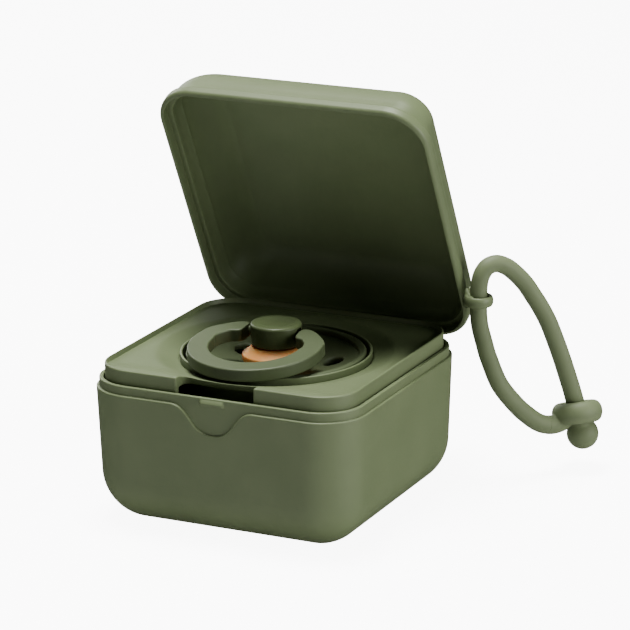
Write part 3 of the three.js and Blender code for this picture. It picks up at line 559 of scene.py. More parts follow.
def rib_reach(stations, z, pull):
    """How far the tray's stops stand out of the inside walls."""
    off = np.abs(np.abs(stations["along"]) - STOP_SPACING / 2)
    wide = 1 - smooth_step(off, STOP_HALF_WIDTH - 0.2, STOP_HALF_WIDTH + EDGE_BLEND)
    high = 1 - float(smooth_step(z, STOP_TOP - 0.3, STOP_TOP))
    return np.maximum(0, STOP_REACH * wide * high - pull)


def base_foot(stations, inset, floor, inside):
    radius = FOOT_ROUND_RADIUS - inset
    loops = []
    for angle in np.linspace(0, RIGHT_ANGLE, 17):
        z = floor + radius * (1 - math.cos(angle))
        pull = radius * (1 - math.sin(angle))
        corner = max(BOX_CORNER_RADIUS - inset - pull, LEAST_CORNER_RADIUS)
        out = -rib_reach(stations, z, pull) if inside else 0
        loops.append(box_ring(stations, base_half_at(z) - inset - pull, corner, z, out))
    return loops


def base_wall(stations, shoulder, lift):
    top = shoulder - SHOULDER_ROUND * lift
    loops = []
    for share in np.linspace(0, 1, 11)[1:]:
        z = FOOT_ROUND_RADIUS + (top - FOOT_ROUND_RADIUS) * share
        loops.append(box_ring(stations, BOX_HALF - BASE_DRAFT * (1 - z / SHOULDER), BOX_CORNER_RADIUS, z))
    half = BOX_HALF - BASE_DRAFT * (1 - top / SHOULDER)
    for sine, fall in quarter_round(5)[1:]:
        z = top + SHOULDER_ROUND * lift * sine
        pull = SHOULDER_ROUND * fall
        loops.append(box_ring(stations, half - pull, BOX_CORNER_RADIUS - pull, z))
    return loops


def base_rim(stations, shoulder):
    loops = []
    quarter = RIM_FOOT_ROUND / 4
    for inset, rise in ((RIM_FOOT_ROUND, 0), (quarter, quarter), (0, RIM_FOOT_ROUND)):
        loops.append(concentric_ring(stations, RIM_HALF + inset, shoulder + rise))
    foot = shoulder + RIM_FOOT_ROUND
    snap_foot = SHOULDER + SNAP_FOOT_RISE
    for share in (0.34, 0.67, 1):
        loops.append(concentric_ring(stations, RIM_HALF, foot + (snap_foot - foot) * share))
    edge = RIM_TOP - RIM_ROUND
    for z in np.linspace(snap_foot, edge, 17)[1:]:
        loops.append(concentric_ring(stations, RIM_HALF, z, snap_reach(stations, z)))
    for sine, fall in quarter_round(4)[1:]:
        loops.append(concentric_ring(stations, RIM_HALF - RIM_ROUND * fall, edge + RIM_ROUND * sine))
    inner = BOX_HALF - BASE_WALL
    for sine, fall in quarter_round(4)[::-1]:
        loops.append(concentric_ring(stations, inner + RIM_ROUND * fall, edge + RIM_ROUND * sine))
    return loops


def base_inside(stations):
    inner = BOX_HALF - BASE_WALL
    at_stops = [STOP_TOP + rise for rise in (0.5, 0, -0.1, -0.2, -0.3, -1)]
    heights = [RIM_TOP - 1.2, SHOULDER, *ROWS_OVER_STOPS, *at_stops, *ROWS_UNDER_STOPS]
    loops = []
    for z in heights:
        half = inner - BASE_DRAFT * (1 - min(z, SHOULDER) / SHOULDER)
        out = -rib_reach(stations, z, 0)
        loops.append(box_ring(stations, half, BOX_CORNER_RADIUS - BASE_WALL, z, out))
    foot = base_foot(stations, BASE_WALL, BASE_FLOOR, True)
    return loops + foot[::-1]


def base_skin():
    stations = box_stations(BASE_FRONT_STOPS, WALL_STOPS)
    shoulder = shoulder_heights(stations)
    dip = (stations["side"] == 0) & (np.abs(stations["along"]) < DIP_HALF_WIDTH)
    lift = np.ones(len(shoulder))
    lift[dip] = np.sqrt(1 + np.gradient(shoulder[dip], stations["along"][dip]) ** 2)
    loops = base_foot(stations, 0, 0, False)
    loops += base_wall(stations, shoulder, lift)
    loops += base_rim(stations, shoulder)
    loops += base_inside(stations)
    return even_shading(capped_loft("base_shell_skin", loops))


# Hinge: knuckles on the base and lid round one pin

HINGE_BEHIND_WALL = 1.84
HINGE_BELOW_SHOULDER = 0.96
HINGE_Y = BOX_HALF + HINGE_BEHIND_WALL
HINGE_Z = SHOULDER - HINGE_BELOW_SHOULDER
KNUCKLE_RADIUS = 1.75
KNUCKLE_BORE_RADIUS = 1.05
KNUCKLE_ROUND = 0.25
HINGE_PIN_ROUND = 0.15
HINGE_PIN_RADIUS = KNUCKLE_BORE_RADIUS - TOUCH_GAP
LID_KNUCKLE_LENGTH = 21
BASE_KNUCKLE_LENGTH = 7
HINGE_LENGTH = LID_KNUCKLE_LENGTH + 2 * (BASE_KNUCKLE_LENGTH + TOUCH_GAP)
EAR_ROOT_INSIDE = 0.8
EAR_ROOT_DEPTH = 7.5
LID_WEB_FOOT = 1.2
LID_WEB_BACK = 0.6
LID_WEB_RISE = 4.2


def knuckle_outline(low_root, high_root):
    """The (y, z) outline of a knuckle: a round about the hinge, with straight sides to its two roots."""
    centre = np.array((HINGE_Y, HINGE_Z))
    angles = []
    for root, sign in ((low_root, 1), (high_root, -1)):
        to_root = np.array(root) - centre
        distance = float(np.linalg.norm(to_root))
        angles.append(math.atan2(to_root[1], to_root[0]) + sign * math.acos(KNUCKLE_RADIUS / distance))
    start, stop = angles
    while stop < start:
        stop += 2 * math.pi
    arc = []
    for angle in np.linspace(start, stop, 28):
        arc.append(centre + KNUCKLE_RADIUS * np.array((math.cos(angle), math.sin(angle))))
    return [np.array(high_root, float), np.array(low_root, float), *arc]


def round_the_hinge(radius):
    return [(HINGE_Y + a, HINGE_Z + b) for a, b in round_section(radius)]


def knuckle(name, low_root, high_root, length, x):
    block = bar_along_x(name, knuckle_outline(low_root, high_root), length, x, KNUCKLE_ROUND)
    bore = bar_along_x(name + "_bore", round_the_hinge(KNUCKLE_BORE_RADIUS), length + 2, x)
    return even_shading(removed(name, block, [bore]))


def base_knuckles():
    low = (BOX_HALF - EAR_ROOT_INSIDE, HINGE_Z - EAR_ROOT_DEPTH)
    high = (BOX_HALF - EAR_ROOT_INSIDE, HINGE_Z + KNUCKLE_RADIUS / 3)
    middle = LID_KNUCKLE_LENGTH / 2 + TOUCH_GAP + BASE_KNUCKLE_LENGTH / 2
    left = knuckle("base_knuckle_left", low, high, BASE_KNUCKLE_LENGTH, -middle)
    right = knuckle("base_knuckle_right", low, high, BASE_KNUCKLE_LENGTH, middle)
    return [left, right]


def hinge_pin_skin():
    outline = round_the_hinge(HINGE_PIN_RADIUS)
    return even_shading(bar_along_x("hinge_pin_skin", outline, HINGE_LENGTH, 0, HINGE_PIN_ROUND))


base_piece = base_skin()
base_knuckle_pieces = base_knuckles()
hinge_pin_piece = hinge_pin_skin()
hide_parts("base_shell")
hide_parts("hinge_pin")
for piece in (base_piece, *base_knuckle_pieces, hinge_pin_piece):
    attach(piece, "base")

# Lid shell, made as it lies closed and turned open about the hinge

LID_HEIGHT = 17.2
LID_FOOT = SHOULDER + TOUCH_GAP
LID_TOP = LID_FOOT + LID_HEIGHT
LID_RIM_OVERHANG = 0.86
LID_RIM_HALF = BOX_HALF + LID_RIM_OVERHANG
LID_RIM_CORNER_RADIUS = 10.6
LID_RIM_ROUND = 1.1
LID_BEAD_HEIGHT = 2.6
LID_SHELF_RISE = 0.45
LID_STEP_INSET = 1.25
LID_STEP_RISE = 0.4
LID_TAPER = 0.9
LID_CROWN_HALF = BOX_HALF - LID_TAPER
CROWN_RUN = 8.8
CROWN_RISE = 11.3
CROWN_POWER = 1.7
CROWN_CORNER_RADIUS = 7.6
CROWN_CORNER_SHARE = 0.2
LID_WALL = 1.5
LID_TOP_WALL = 1.8
LID_CLEARANCE = 0.35
REBATE_HALF = RIM_HALF + LID_CLEARANCE
REBATE_DEPTH = 2.5
THROAT_HALF = BOX_HALF - BASE_WALL - TOUCH_GAP + LID_CLEARANCE
THROAT_TOP = 39.55
CATCH_HALF_WIDTH = 3.55
CATCH_DEPTH = 0.4
CATCH_LOW = 33.9
CATCH_HIGH = 35.5

LID_TURN = (
    Matrix.Translation((0, HINGE_Y * MM, HINGE_Z * MM))
    @ Matrix.Rotation(-math.radians(LID_OPEN_DEG), 4, "X")
    @ Matrix.Translation((0, -HINGE_Y * MM, -HINGE_Z * MM))
)


def crown_loops(stations, half, corner, top, run, rise):
    loops = []
    for angle in np.linspace(0, RIGHT_ANGLE, 25):
        pull = run * (1 - math.cos(angle) ** (2 / CROWN_POWER))
        z = top - rise * (1 - math.sin(angle) ** (2 / CROWN_POWER))
        loops.append(box_ring(stations, half - pull, corner - CROWN_CORNER_SHARE * pull, z))
    return loops


def lid_bead(stations):
    """The round bead outside the lid's mouth, from its foot up to the step below the crown."""
    loops = []
    for sine, fall in quarter_round(8):
        half = LID_RIM_HALF - LID_RIM_ROUND * (1 - sine)
        loops.append(concentric_corner(stations, half, LID_FOOT + LID_RIM_ROUND * fall))
    shelf = LID_FOOT + LID_BEAD_HEIGHT + LID_SHELF_RISE
    profile = [
        (0, -1.0), (0, -0.7), (0.05, -0.45), (0.19, -0.2), (0.42, -0.05),
        (0.7, 0), (0.95, 0.02), (1.1, 0.07), (1.2, 0.18), (LID_STEP_INSET, LID_STEP_RISE),
    ]
    for pull, rise in profile:
        loops.append(concentric_corner(stations, LID_RIM_HALF - pull, shelf + rise))
    start = np.array((LID_RIM_HALF, LID_RIM_CORNER_RADIUS, shelf + LID_STEP_RISE))
    start -= (LID_STEP_INSET, LID_STEP_INSET, 0)
    stop = np.array((LID_CROWN_HALF, CROWN_CORNER_RADIUS, LID_TOP - CROWN_RISE))
    for share in (0.33, 0.67):
        half, radius, z = start + (stop - start) * share
        loops.append(box_ring(stations, half, radius, z))
    return loops


def catch_reach(stations, z):
    """The pocket in the front of the rebate that the snap clicks into."""
    away = from_front_middle(stations)
    wide = 1 - smooth_step(away, CATCH_HALF_WIDTH - 0.1, CATCH_HALF_WIDTH + EDGE_BLEND)
    over = smooth_step(z, CATCH_LOW - EDGE_BLEND, CATCH_LOW)
    under = 1 - smooth_step(z, CATCH_HIGH, CATCH_HIGH + EDGE_BLEND)
    return CATCH_DEPTH * wide * (over * under)


def lid_inside(stations):
    loops = [
        concentric_corner(stations, REBATE_HALF + 0.1, LID_FOOT + 0.01),
        concentric_corner(stations, REBATE_HALF, LID_FOOT + 0.09),
    ]
    step = LID_FOOT + REBATE_DEPTH
    heights = [CATCH_LOW, CATCH_LOW + 0.4, CATCH_LOW + 0.8, CATCH_HIGH - 0.3, CATCH_HIGH, CATCH_HIGH + 0.07]
    heights += [CATCH_HIGH + EDGE_BLEND, step - 0.3]
    for z in heights:
        loops.append(concentric_corner(stations, REBATE_HALF, z, catch_reach(stations, z)))
    for pull, rise in ((0.02, -0.1), (0.12, 0), (1.05, 0), (1.2, 0.03), (1.33, 0.12), (1.4, 0.3)):
        loops.append(concentric_corner(stations, REBATE_HALF - pull, step + rise))
    loops.append(concentric_corner(stations, THROAT_HALF, step + 1.2))
    loops.append(concentric_corner(stations, THROAT_HALF, THROAT_TOP - 0.6))
    crown = crown_loops(
        stations,
        LID_CROWN_HALF - LID_WALL,
        CROWN_CORNER_RADIUS - LID_WALL / 2,
        LID_TOP - LID_TOP_WALL,
        CROWN_RUN - LID_WALL,
        CROWN_RISE - LID_TOP_WALL,
    )
    return loops + crown[1:]


def concentric_corner(stations, half, z, out=0):
    """A ring that keeps the corner centres of the lid's rim."""
    return box_ring(stations, half, LID_RIM_CORNER_RADIUS - LID_RIM_HALF + half, z, out)


def lid_skin():
    catch_edges = [s * (CATCH_HALF_WIDTH + e) for s in (-1, 1) for e in (-0.3, -0.1, 0.02, 0.15, 0.3)]
    stations = box_stations(sorted(EVEN_STOPS + catch_edges), EVEN_STOPS)
    crown = crown_loops(stations, LID_CROWN_HALF, CROWN_CORNER_RADIUS, LID_TOP, CROWN_RUN, CROWN_RISE)
    loops = crown[::-1] + lid_bead(stations)[::-1] + lid_inside(stations)
    made = capped_loft("lid_shell_skin", loops)
    made.data.transform(LID_TURN)
    return even_shading(made)


def lid_knuckle():
    low = (BOX_HALF + LID_WEB_BACK, LID_FOOT + LID_WEB_FOOT)
    high = (BOX_HALF, LID_FOOT + LID_WEB_RISE)
    made = knuckle("lid_knuckle", low, high, LID_KNUCKLE_LENGTH, 0)
    made.data.transform(LID_TURN)
    return made


# Strap eyelet, made where it stands while the lid is open, with its hole upright

EYELET_CENTRE = (39.75, 31.0, 46.8)
EYELET_BORE_RADIUS = 2.35
EYELET_BAND = 1.3
EYELET_BAND_HEIGHT = 2.7
EYELET_WEB_SPREAD = 1.3
EYELET_ROOT_BACK = 2.3
EYELET_ROOT_GAP = 0.15
EYELET_WEB_SHIFT = 0.2
EYELET_VOXEL = 0.16
EYELET_SMOOTHINGS = 8


def eyelet_web(side, root):
    """A short wall that grows taller and thicker from the ring's side toward the lid's bead."""
    across = (root - side).normalized().cross(Vector((0, 0, 1)))
    loops = []
    for share in np.linspace(0, 1, 9):
        middle = side.lerp(root, share)
        half_height = EYELET_BAND_HEIGHT / 2 + share * share * EYELET_WEB_SPREAD
        half_width = EYELET_BAND / 2 * (1 + share)
        loop = []
        for a, b in round_section(1):
            loop.append(middle + across * a * half_width + Vector((0, 0, b * half_height)))
        loops.append(np.array(loop))
    return capped_loft("eyelet_web", loops, (tuple(side), tuple(root)))


def eyelet():
    middle = EYELET_BORE_RADIUS + EYELET_BAND / 2
    section = [(a * EYELET_BAND / 2, b * EYELET_BAND_HEIGHT / 2) for a, b in round_section(1)]
    band = torus("eyelet_band", middle, section)
    centre = Vector(EYELET_CENTRE)
    band.data.transform(Matrix.Translation(centre * MM))
    parts = [band]
    for sign in (-1, 1):
        side = centre + Vector((-EYELET_WEB_SHIFT, sign * middle, 0))
        root_y = centre.y + EYELET_ROOT_BACK + sign
        root = Vector((LID_RIM_HALF + EYELET_ROOT_GAP, root_y, centre.z - EYELET_WEB_SHIFT))
        parts.append(eyelet_web(side, root))
    return melted("strap_eyelet", parts, EYELET_VOXEL, EYELET_SMOOTHINGS)


lid_piece = lid_skin()
lid_parts = [lid_knuckle(), eyelet()]
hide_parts("lid_shell")
for piece in (lid_piece, *lid_parts):
    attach(piece, "lid")

# Lift-out tray: skirt, lip, sunken deck, dish and collar as one skin, with a finger notch in front

TRAY_SKIRT_DEPTH = 8
TRAY_RISE = 5.7
TRAY_SEAT = SHOULDER - TRAY_SKIRT_DEPTH
TRAY_TOP = SHOULDER + TRAY_RISE
TRAY_WALL = 1.2
TRAY_ROUND = 0.4
TRAY_LIP = 1
TRAY_HALF = BOX_HALF - BASE_WALL - TOUCH_GAP
TRAY_CORNER_RADIUS = TRAY_HALF - CORNER_CENTRE
DECK_DROP = 1.2
DECK_THICKNESS = 1.6
DECK_RAMP_FRONT = 30.6
DECK_RAMP_BACK = 24
DECK_RAMP_SOFT_SHARE = 0.35
DISH_CREASE = 0.18
DECK_TOP = TRAY_TOP - DECK_DROP
DECK_UNDERSIDE = DECK_TOP - DECK_THICKNESS
COLLAR_OUTER_RADIUS = 23.3
COLLAR_WALL = 0.65
COLLAR_TOP = SHOULDER + 4.6
COLLAR_ROUND = 0.26
COLLAR_GROOVE = 0.3
DISH_FOOT = SHOULDER + 2.8
DISH_SLOPE = math.tan(math.radians(17))
SEAT_GAP = 0.35
SEAT_THICKNESS = 1.6
TRAY_HOLE_RADIUS = 13
NOTCH_HALF_WIDTH = 10.1
NOTCH_BACK = 28.8
NOTCH_UNDERCUT = 0.9
NOTCH_BOTTOM = SHOULDER - 4
NOTCH_CORNER_RADIUS = 1.8
NOTCH_EDGE_ROUND = 0.34
NOTCH_ROW_DROP = 1.2
# The skirt's foot: how far each row stands above it and in from its face
SKIRT_FOOT_ROWS = ((0, 0.2), (0.06, 0.06), (0.2, 0))
# The lip's inner edge: how far each row stands in from it, and its share of the lip's height
LIP_EDGE_SHARES = ((-0.28, 1), (-0.1, 0.97), (0.02, 0.82), (0.1, 0.5), (0.18, 0.18), (0.32, 0.02), (0.5, 0))
SHIELD_RADIUS = 21.9
SHIELD_FACE = SHOULDER - 2.37
SHIELD_BOWL_RISE = 4.58


def shield_under(radius):
    """The underside of the pacifier's bowl-shaped shield, which rests on the rim of the tray's hole."""
    return SHIELD_FACE + SHIELD_BOWL_RISE * (radius / SHIELD_RADIUS) ** 2


SEAT_TOP = shield_under(TRAY_HOLE_RADIUS) - SEAT_GAP


def deck_heights(xy):
    """The deck's height: flat, rising to the top edge at the front, and cut by the dish's cone."""
    soft = smooth_step(-xy[:, 1], DECK_RAMP_BACK, DECK_RAMP_FRONT)
    straight = np.clip((-xy[:, 1] - DECK_RAMP_BACK) / (DECK_RAMP_FRONT - DECK_RAMP_BACK), 0, 1)
    deck = DECK_TOP + DECK_DROP * (soft * DECK_RAMP_SOFT_SHARE + straight * (1 - DECK_RAMP_SOFT_SHARE))
    cone = DISH_FOOT + DISH_SLOPE * (np.hypot(xy[:, 0], xy[:, 1]) - COLLAR_OUTER_RADIUS)
    return np.minimum(smooth_least(deck, cone, DISH_CREASE), TRAY_TOP)


def tray_half_at(z):
    return base_half_at(z) - BASE_WALL - TOUCH_GAP


def circle_like(ring, radius, z):
    """The points of a ring drawn in or out to a circle, each along its own radius."""
    reach = np.hypot(ring[:, 0], ring[:, 1])
    xy = ring[:, :2] * (radius / reach)[:, None]
    return np.column_stack([xy, np.broadcast_to(np.asarray(z, float), len(ring))])


def on_deck(ring):
    return np.column_stack([ring[:, :2], deck_heights(ring[:, :2])])


def tray_upper(stations):
    """Rings from the skirt's foot up the outside and in to the hole, and where the notch lies in them."""
    loops = []

    def skirt(z, pull=0):
        half = tray_half_at(z) - pull
        loops.append(box_ring(stations, half, TRAY_CORNER_RADIUS - pull, z))

    for rise, pull in SKIRT_FOOT_ROWS:
        skirt(TRAY_SEAT + rise, pull)
    skirt(NOTCH_BOTTOM - NOTCH_ROW_DROP)
    first = len(loops)
    edge = TRAY_TOP - TRAY_ROUND
    for z in np.linspace(NOTCH_BOTTOM, edge, 9):
        skirt(z)
    for sine, fall in quarter_round(5)[1:]:
        loops.append(concentric_ring(stations, TRAY_HALF - TRAY_ROUND * fall, edge + TRAY_ROUND * sine))
    inner = TRAY_HALF - TRAY_LIP
    for pull, share in LIP_EDGE_SHARES:
        ring = concentric_ring(stations, inner - pull, 0)
        deck = deck_heights(ring[:, :2])
        loops.append(np.column_stack([ring[:, :2], deck + (TRAY_TOP - deck) * share]))
    for half in np.linspace(inner - 0.5, NOTCH_BACK, 9)[1:]:
        loops.append(on_deck(concentric_ring(stations, half, 0)))
    last = len(loops) - 1
    square = loops[-1]
    foot = circle_like(square, COLLAR_OUTER_RADIUS + 0.4, 0)
    for share in np.linspace(0, 1, 17)[1:]:
        loops.append(on_deck(square + (foot - square) * share))
    collar = [
        (COLLAR_OUTER_RADIUS + 0.28, DISH_FOOT - COLLAR_GROOVE * 0.2),
        (COLLAR_OUTER_RADIUS + 0.2, DISH_FOOT - COLLAR_GROOVE),
        (COLLAR_OUTER_RADIUS, DISH_FOOT - COLLAR_GROOVE),
        (COLLAR_OUTER_RADIUS, DISH_FOOT + 0.3),
    ]
    inner_wall = COLLAR_OUTER_RADIUS - COLLAR_WALL
    for sine, fall in quarter_round(4):
        z = COLLAR_TOP - COLLAR_ROUND * (1 - sine)
        collar.append((COLLAR_OUTER_RADIUS - COLLAR_ROUND * fall, z))
    for sine, fall in quarter_round(4)[::-1]:
        z = COLLAR_TOP - COLLAR_ROUND * (1 - sine)
        collar.append((inner_wall + COLLAR_ROUND * fall, z))
    for pull, rise in ((0, 0.25), (0.07, 0.07), (0.25, 0)):
        collar.append((inner_wall - pull, SEAT_TOP + rise))
    collar.append((TRAY_HOLE_RADIUS + 3, SEAT_TOP))
    for sine, fall in quarter_round(4)[::-1]:
        collar.append((TRAY_HOLE_RADIUS + COLLAR_ROUND * fall, SEAT_TOP - COLLAR_ROUND * (1 - sine)))
    for radius, z in collar:
        loops.append(circle_like(square, radius, z))
    return loops, first, last


def tray_under(stations, window_rows):
    """Rings from the hole's lower edge out under the dish and deck, and down inside the skirt."""
    skirt_half = tray_half_at(TRAY_SEAT) - TRAY_WALL
    radius = TRAY_CORNER_RADIUS - TRAY_WALL
    square = concentric_ring(stations, NOTCH_BACK - NOTCH_UNDERCUT, DECK_UNDERSIDE)
    under_dish = DISH_FOOT - SEAT_THICKNESS
    dish_edge_radius = NOTCH_BACK - 2 * NOTCH_UNDERCUT
    dish_edge = under_dish + DISH_SLOPE * (dish_edge_radius - COLLAR_OUTER_RADIUS)
    under_seat = SEAT_TOP - SEAT_THICKNESS
    under = [
        (TRAY_HOLE_RADIUS, under_seat + 0.25),
        (TRAY_HOLE_RADIUS + 0.25, under_seat),
        (COLLAR_OUTER_RADIUS - 0.5, under_seat),
        (COLLAR_OUTER_RADIUS, under_seat + 0.4),
        (COLLAR_OUTER_RADIUS, under_dish - 0.2),
        (COLLAR_OUTER_RADIUS + 0.3, under_dish),
        (dish_edge_radius, dish_edge),
    ]
    loops = [circle_like(square, reach, z) for reach, z in under]
    loops.append(loops[-1] + (square - loops[-1]) * 0.5)
    first = len(loops)
    flat_rows = window_rows // 2
    wall = box_ring(stations, skirt_half, radius, DECK_UNDERSIDE)
    for share in np.linspace(0, 1, flat_rows):
        loops.append(square + (wall - square) * share)
    for z in np.linspace(DECK_UNDERSIDE, NOTCH_BOTTOM, window_rows - flat_rows + 1)[1:]:
        loops.append(box_ring(stations, skirt_half, radius, z))
    last = len(loops) - 1
    loops.append(box_ring(stations, skirt_half, radius, NOTCH_BOTTOM - NOTCH_ROW_DROP))
    for rise, push in SKIRT_FOOT_ROWS[::-1]:
        loops.append(box_ring(stations, skirt_half + push, radius + push, TRAY_SEAT + rise))
    return loops, first, last


def round_notch_corners(loop, columns, back):
    """Draws the notch's two inner corners in to an arc, seen from above."""
    centre_x = NOTCH_HALF_WIDTH - NOTCH_CORNER_RADIUS
    centre_y = -back - NOTCH_CORNER_RADIUS
    for j in columns:
        x, y = abs(loop[j, 0]) - centre_x, loop[j, 1] - centre_y
        if x < 0 or y < 0 or math.hypot(x, y) <= NOTCH_CORNER_RADIUS:
            continue
        pull = NOTCH_CORNER_RADIUS / math.hypot(x, y)
        loop[j, 0] = math.copysign(centre_x + x * pull, loop[j, 0])
        loop[j, 1] = centre_y + y * pull


def tray_skin():
    notch_stops = [NOTCH_HALF_WIDTH * s for s in np.linspace(-1, 1, 57)]
    past = [NOTCH_HALF_WIDTH + e for e in (0.6, 1.3)]
    even = [s for s in EVEN_STOPS if abs(s) > FINE_HALF_WIDTH]
    front = sorted(even + notch_stops + past + [-p for p in past])
    stations = box_stations(front, EVEN_STOPS)
    upper, top_first, top_last = tray_upper(stations)
    under, low_first, low_last = tray_under(stations, top_last - top_first + 1)
    columns = np.flatnonzero(from_front_middle(stations) < NOTCH_HALF_WIDTH + 0.01).tolist()
    left, right = columns[0], columns[-1]
    for loop in upper[top_first : top_last + 1]:
        round_notch_corners(loop, columns, NOTCH_BACK)
    for loop in under[low_first : low_last + 1]:
        round_notch_corners(loop, columns, NOTCH_BACK - NOTCH_UNDERCUT)
    for loop in upper[top_first + 14 : top_last + 1]:
        behind_lip = loop[:, 1] > -TRAY_HALF + TRAY_LIP + 0.45
        loop[:, 2] = np.where(behind_lip, deck_heights(loop[:, :2]), loop[:, 2])
    loops = upper + under
    shift = len(upper)
    windows = [(top_first, top_last), (shift + low_first, shift + low_last)]

    def in_notch(i, j):
        return left <= j < right and any(low <= i < high for low, high in windows)

    count = len(stations["along"])
    faces = grid_faces(len(loops), count, close_rows=True, skip=in_notch)
    rim_above = notch_edge(top_first, top_last, left, right, count, False)
    rim_below = notch_edge(shift + low_first, shift + low_last, left, right, count, True)
    for a, b in zip(range(len(rim_above)), [*range(1, len(rim_above)), 0]):
        faces.append((rim_above[a], rim_above[b], rim_below[b], rim_below[a]))
    made = mesh_object("tray_skin", np.concatenate(loops), faces)
    soften_loops(made, [rim_above, rim_below], NOTCH_EDGE_ROUND)
    return even_shading(made)


def notch_edge(first, last, left, right, count, upside_down):
    """The points round the notch on one face of the tray: along its lower edge, back, across and forward."""
    rows = list(range(last, first - 1, -1)) if upside_down else list(range(first, last + 1))
    path = [(rows[0], j) for j in range(left, right)]
    path += [(i, right) for i in rows[:-1]]
    path += [(rows[-1], j) for j in range(right, left, -1)]
    path += [(i, left) for i in rows[:0:-1]]
    return [i * count + j for i, j in path]


def soften_loops(made, loops, width):
    """Rounds the edges that run along the given loops of points."""
    work = bmesh.new()
    work.from_mesh(made.data)
    work.verts.ensure_lookup_table()
    edges = []
    for loop in loops:
        for a, b in zip(loop, loop[1:] + loop[:1]):
            edges.append(work.edges.get((work.verts[a], work.verts[b])))
    bmesh.ops.bevel(
        work, geom=edges, offset=width * MM, segments=4, profile=0.5, affect="EDGES", clamp_overlap=True
    )
    work.to_mesh(made.data)
    work.free()
    face_outward(made.data)


tray_piece = tray_skin()
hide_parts("tray")
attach(tray_piece, "tray")

# Pacifier: shield, teat, knob and ring handle

SHIELD_HOLE_RADIUS = 5.4
SHIELD_THICKNESS = 1.8
SHIELD_BEAD_TOP = SHOULDER + 4.4
SHIELD_BEAD_WIDTH = 1.9
SHIELD_CREASE = 0.25
SHIELD_EDGE_ROUND = 0.35
SHIELD_BEAD_ROUND = 0.6
VENT_RADIUS = 2.5
VENT_FLARE = 0.7
VENT_CIRCLE_RADIUS = 13.9
VENT_COUNT = 3
VENT_FIRST_DEG = 30
FLANGE_RADIUS = 8.35
FLANGE_TOP = SHOULDER + 3.9
FLANGE_EDGE = 1.3
FLANGE_SEAT_RADIUS = 6.8
FLANGE_NECK_RADIUS = 5.9
NECK_RADIUS = 5
NECK_LENGTH = 9
BULB_RADIUS = 9
BULB_REACH = 27.5
BULB_CURVE_REACH = 3.5
LEAST_RADIUS = 0.001
LATEX_WALL = 1.3
KNOB_RADIUS = 6.3
KNOB_FOOT = SHOULDER + 6.2
KNOB_TOP = KNOB_FOOT + 5.3
KNOB_ROUND = 0.7
KNOB_DISH_DEPTH = 0.55
KNOB_TAPER = 0.3
KNOB_RIM_WIDTH = 1.55
STEM_LENGTH = 9
HANDLE_RADIUS = 16.4
HANDLE_WIDTH = 5.15
HANDLE_THICKNESS = 3.2
HANDLE_EDGE_ROUND = 0.45
HANDLE_END_ROUND = 0.3
HANDLE_END_DEG = 60
HANDLE_MIDDLE_RADIUS = HANDLE_RADIUS - HANDLE_WIDTH / 2
HANDLE_END_X = KNOB_RADIUS + TOUCH_GAP + 1.62
HANDLE_FORWARD = math.sqrt(HANDLE_MIDDLE_RADIUS**2 - HANDLE_END_X**2)
HANDLE_PIVOT = (0, 0, (KNOB_FOOT + KNOB_TOP) / 2)
HANDLE_DROP = HANDLE_PIVOT[2] - HANDLE_THICKNESS / 2 - TOUCH_GAP - COLLAR_TOP
HANDLE_REST_ANGLE = math.atan(HANDLE_DROP / COLLAR_OUTER_RADIUS)
HANDLE_PIN_RADIUS = 1.1
HANDLE_PIN_REACH = 2.2
HANDLE_PIN_ROUND = 0.2
HANDLE_PIN_OVERLAP = 0.02
HANDLE_LEAD_DEG = 14
HOOK_SPACING = 0.05
FULL_ROUND_SHARE = 0.98
HOOK_FACE = KNOB_RADIUS + 0.75
HOOK_OUTER = [
    (15.95, -6.3), (14.9, -4.3), (13.0, -2.1), (10.8, -0.1),
    (9.6, 0.6), (8.4, 0.95), (7.6, 0.8), (HOOK_FACE, 0.2),
]
HOOK_INNER = [
    (11.5, -9.6), (11.1, -7.8), (10.3, -6.3), (9.4, -5.3),
    (8.5, -5.0), (7.7, -4.7), (7.2, -4.1), (HOOK_FACE, -3.3),
]
SOCKET_HALF_WIDTH = 2
SOCKET_HALF_HEIGHT = 1.95


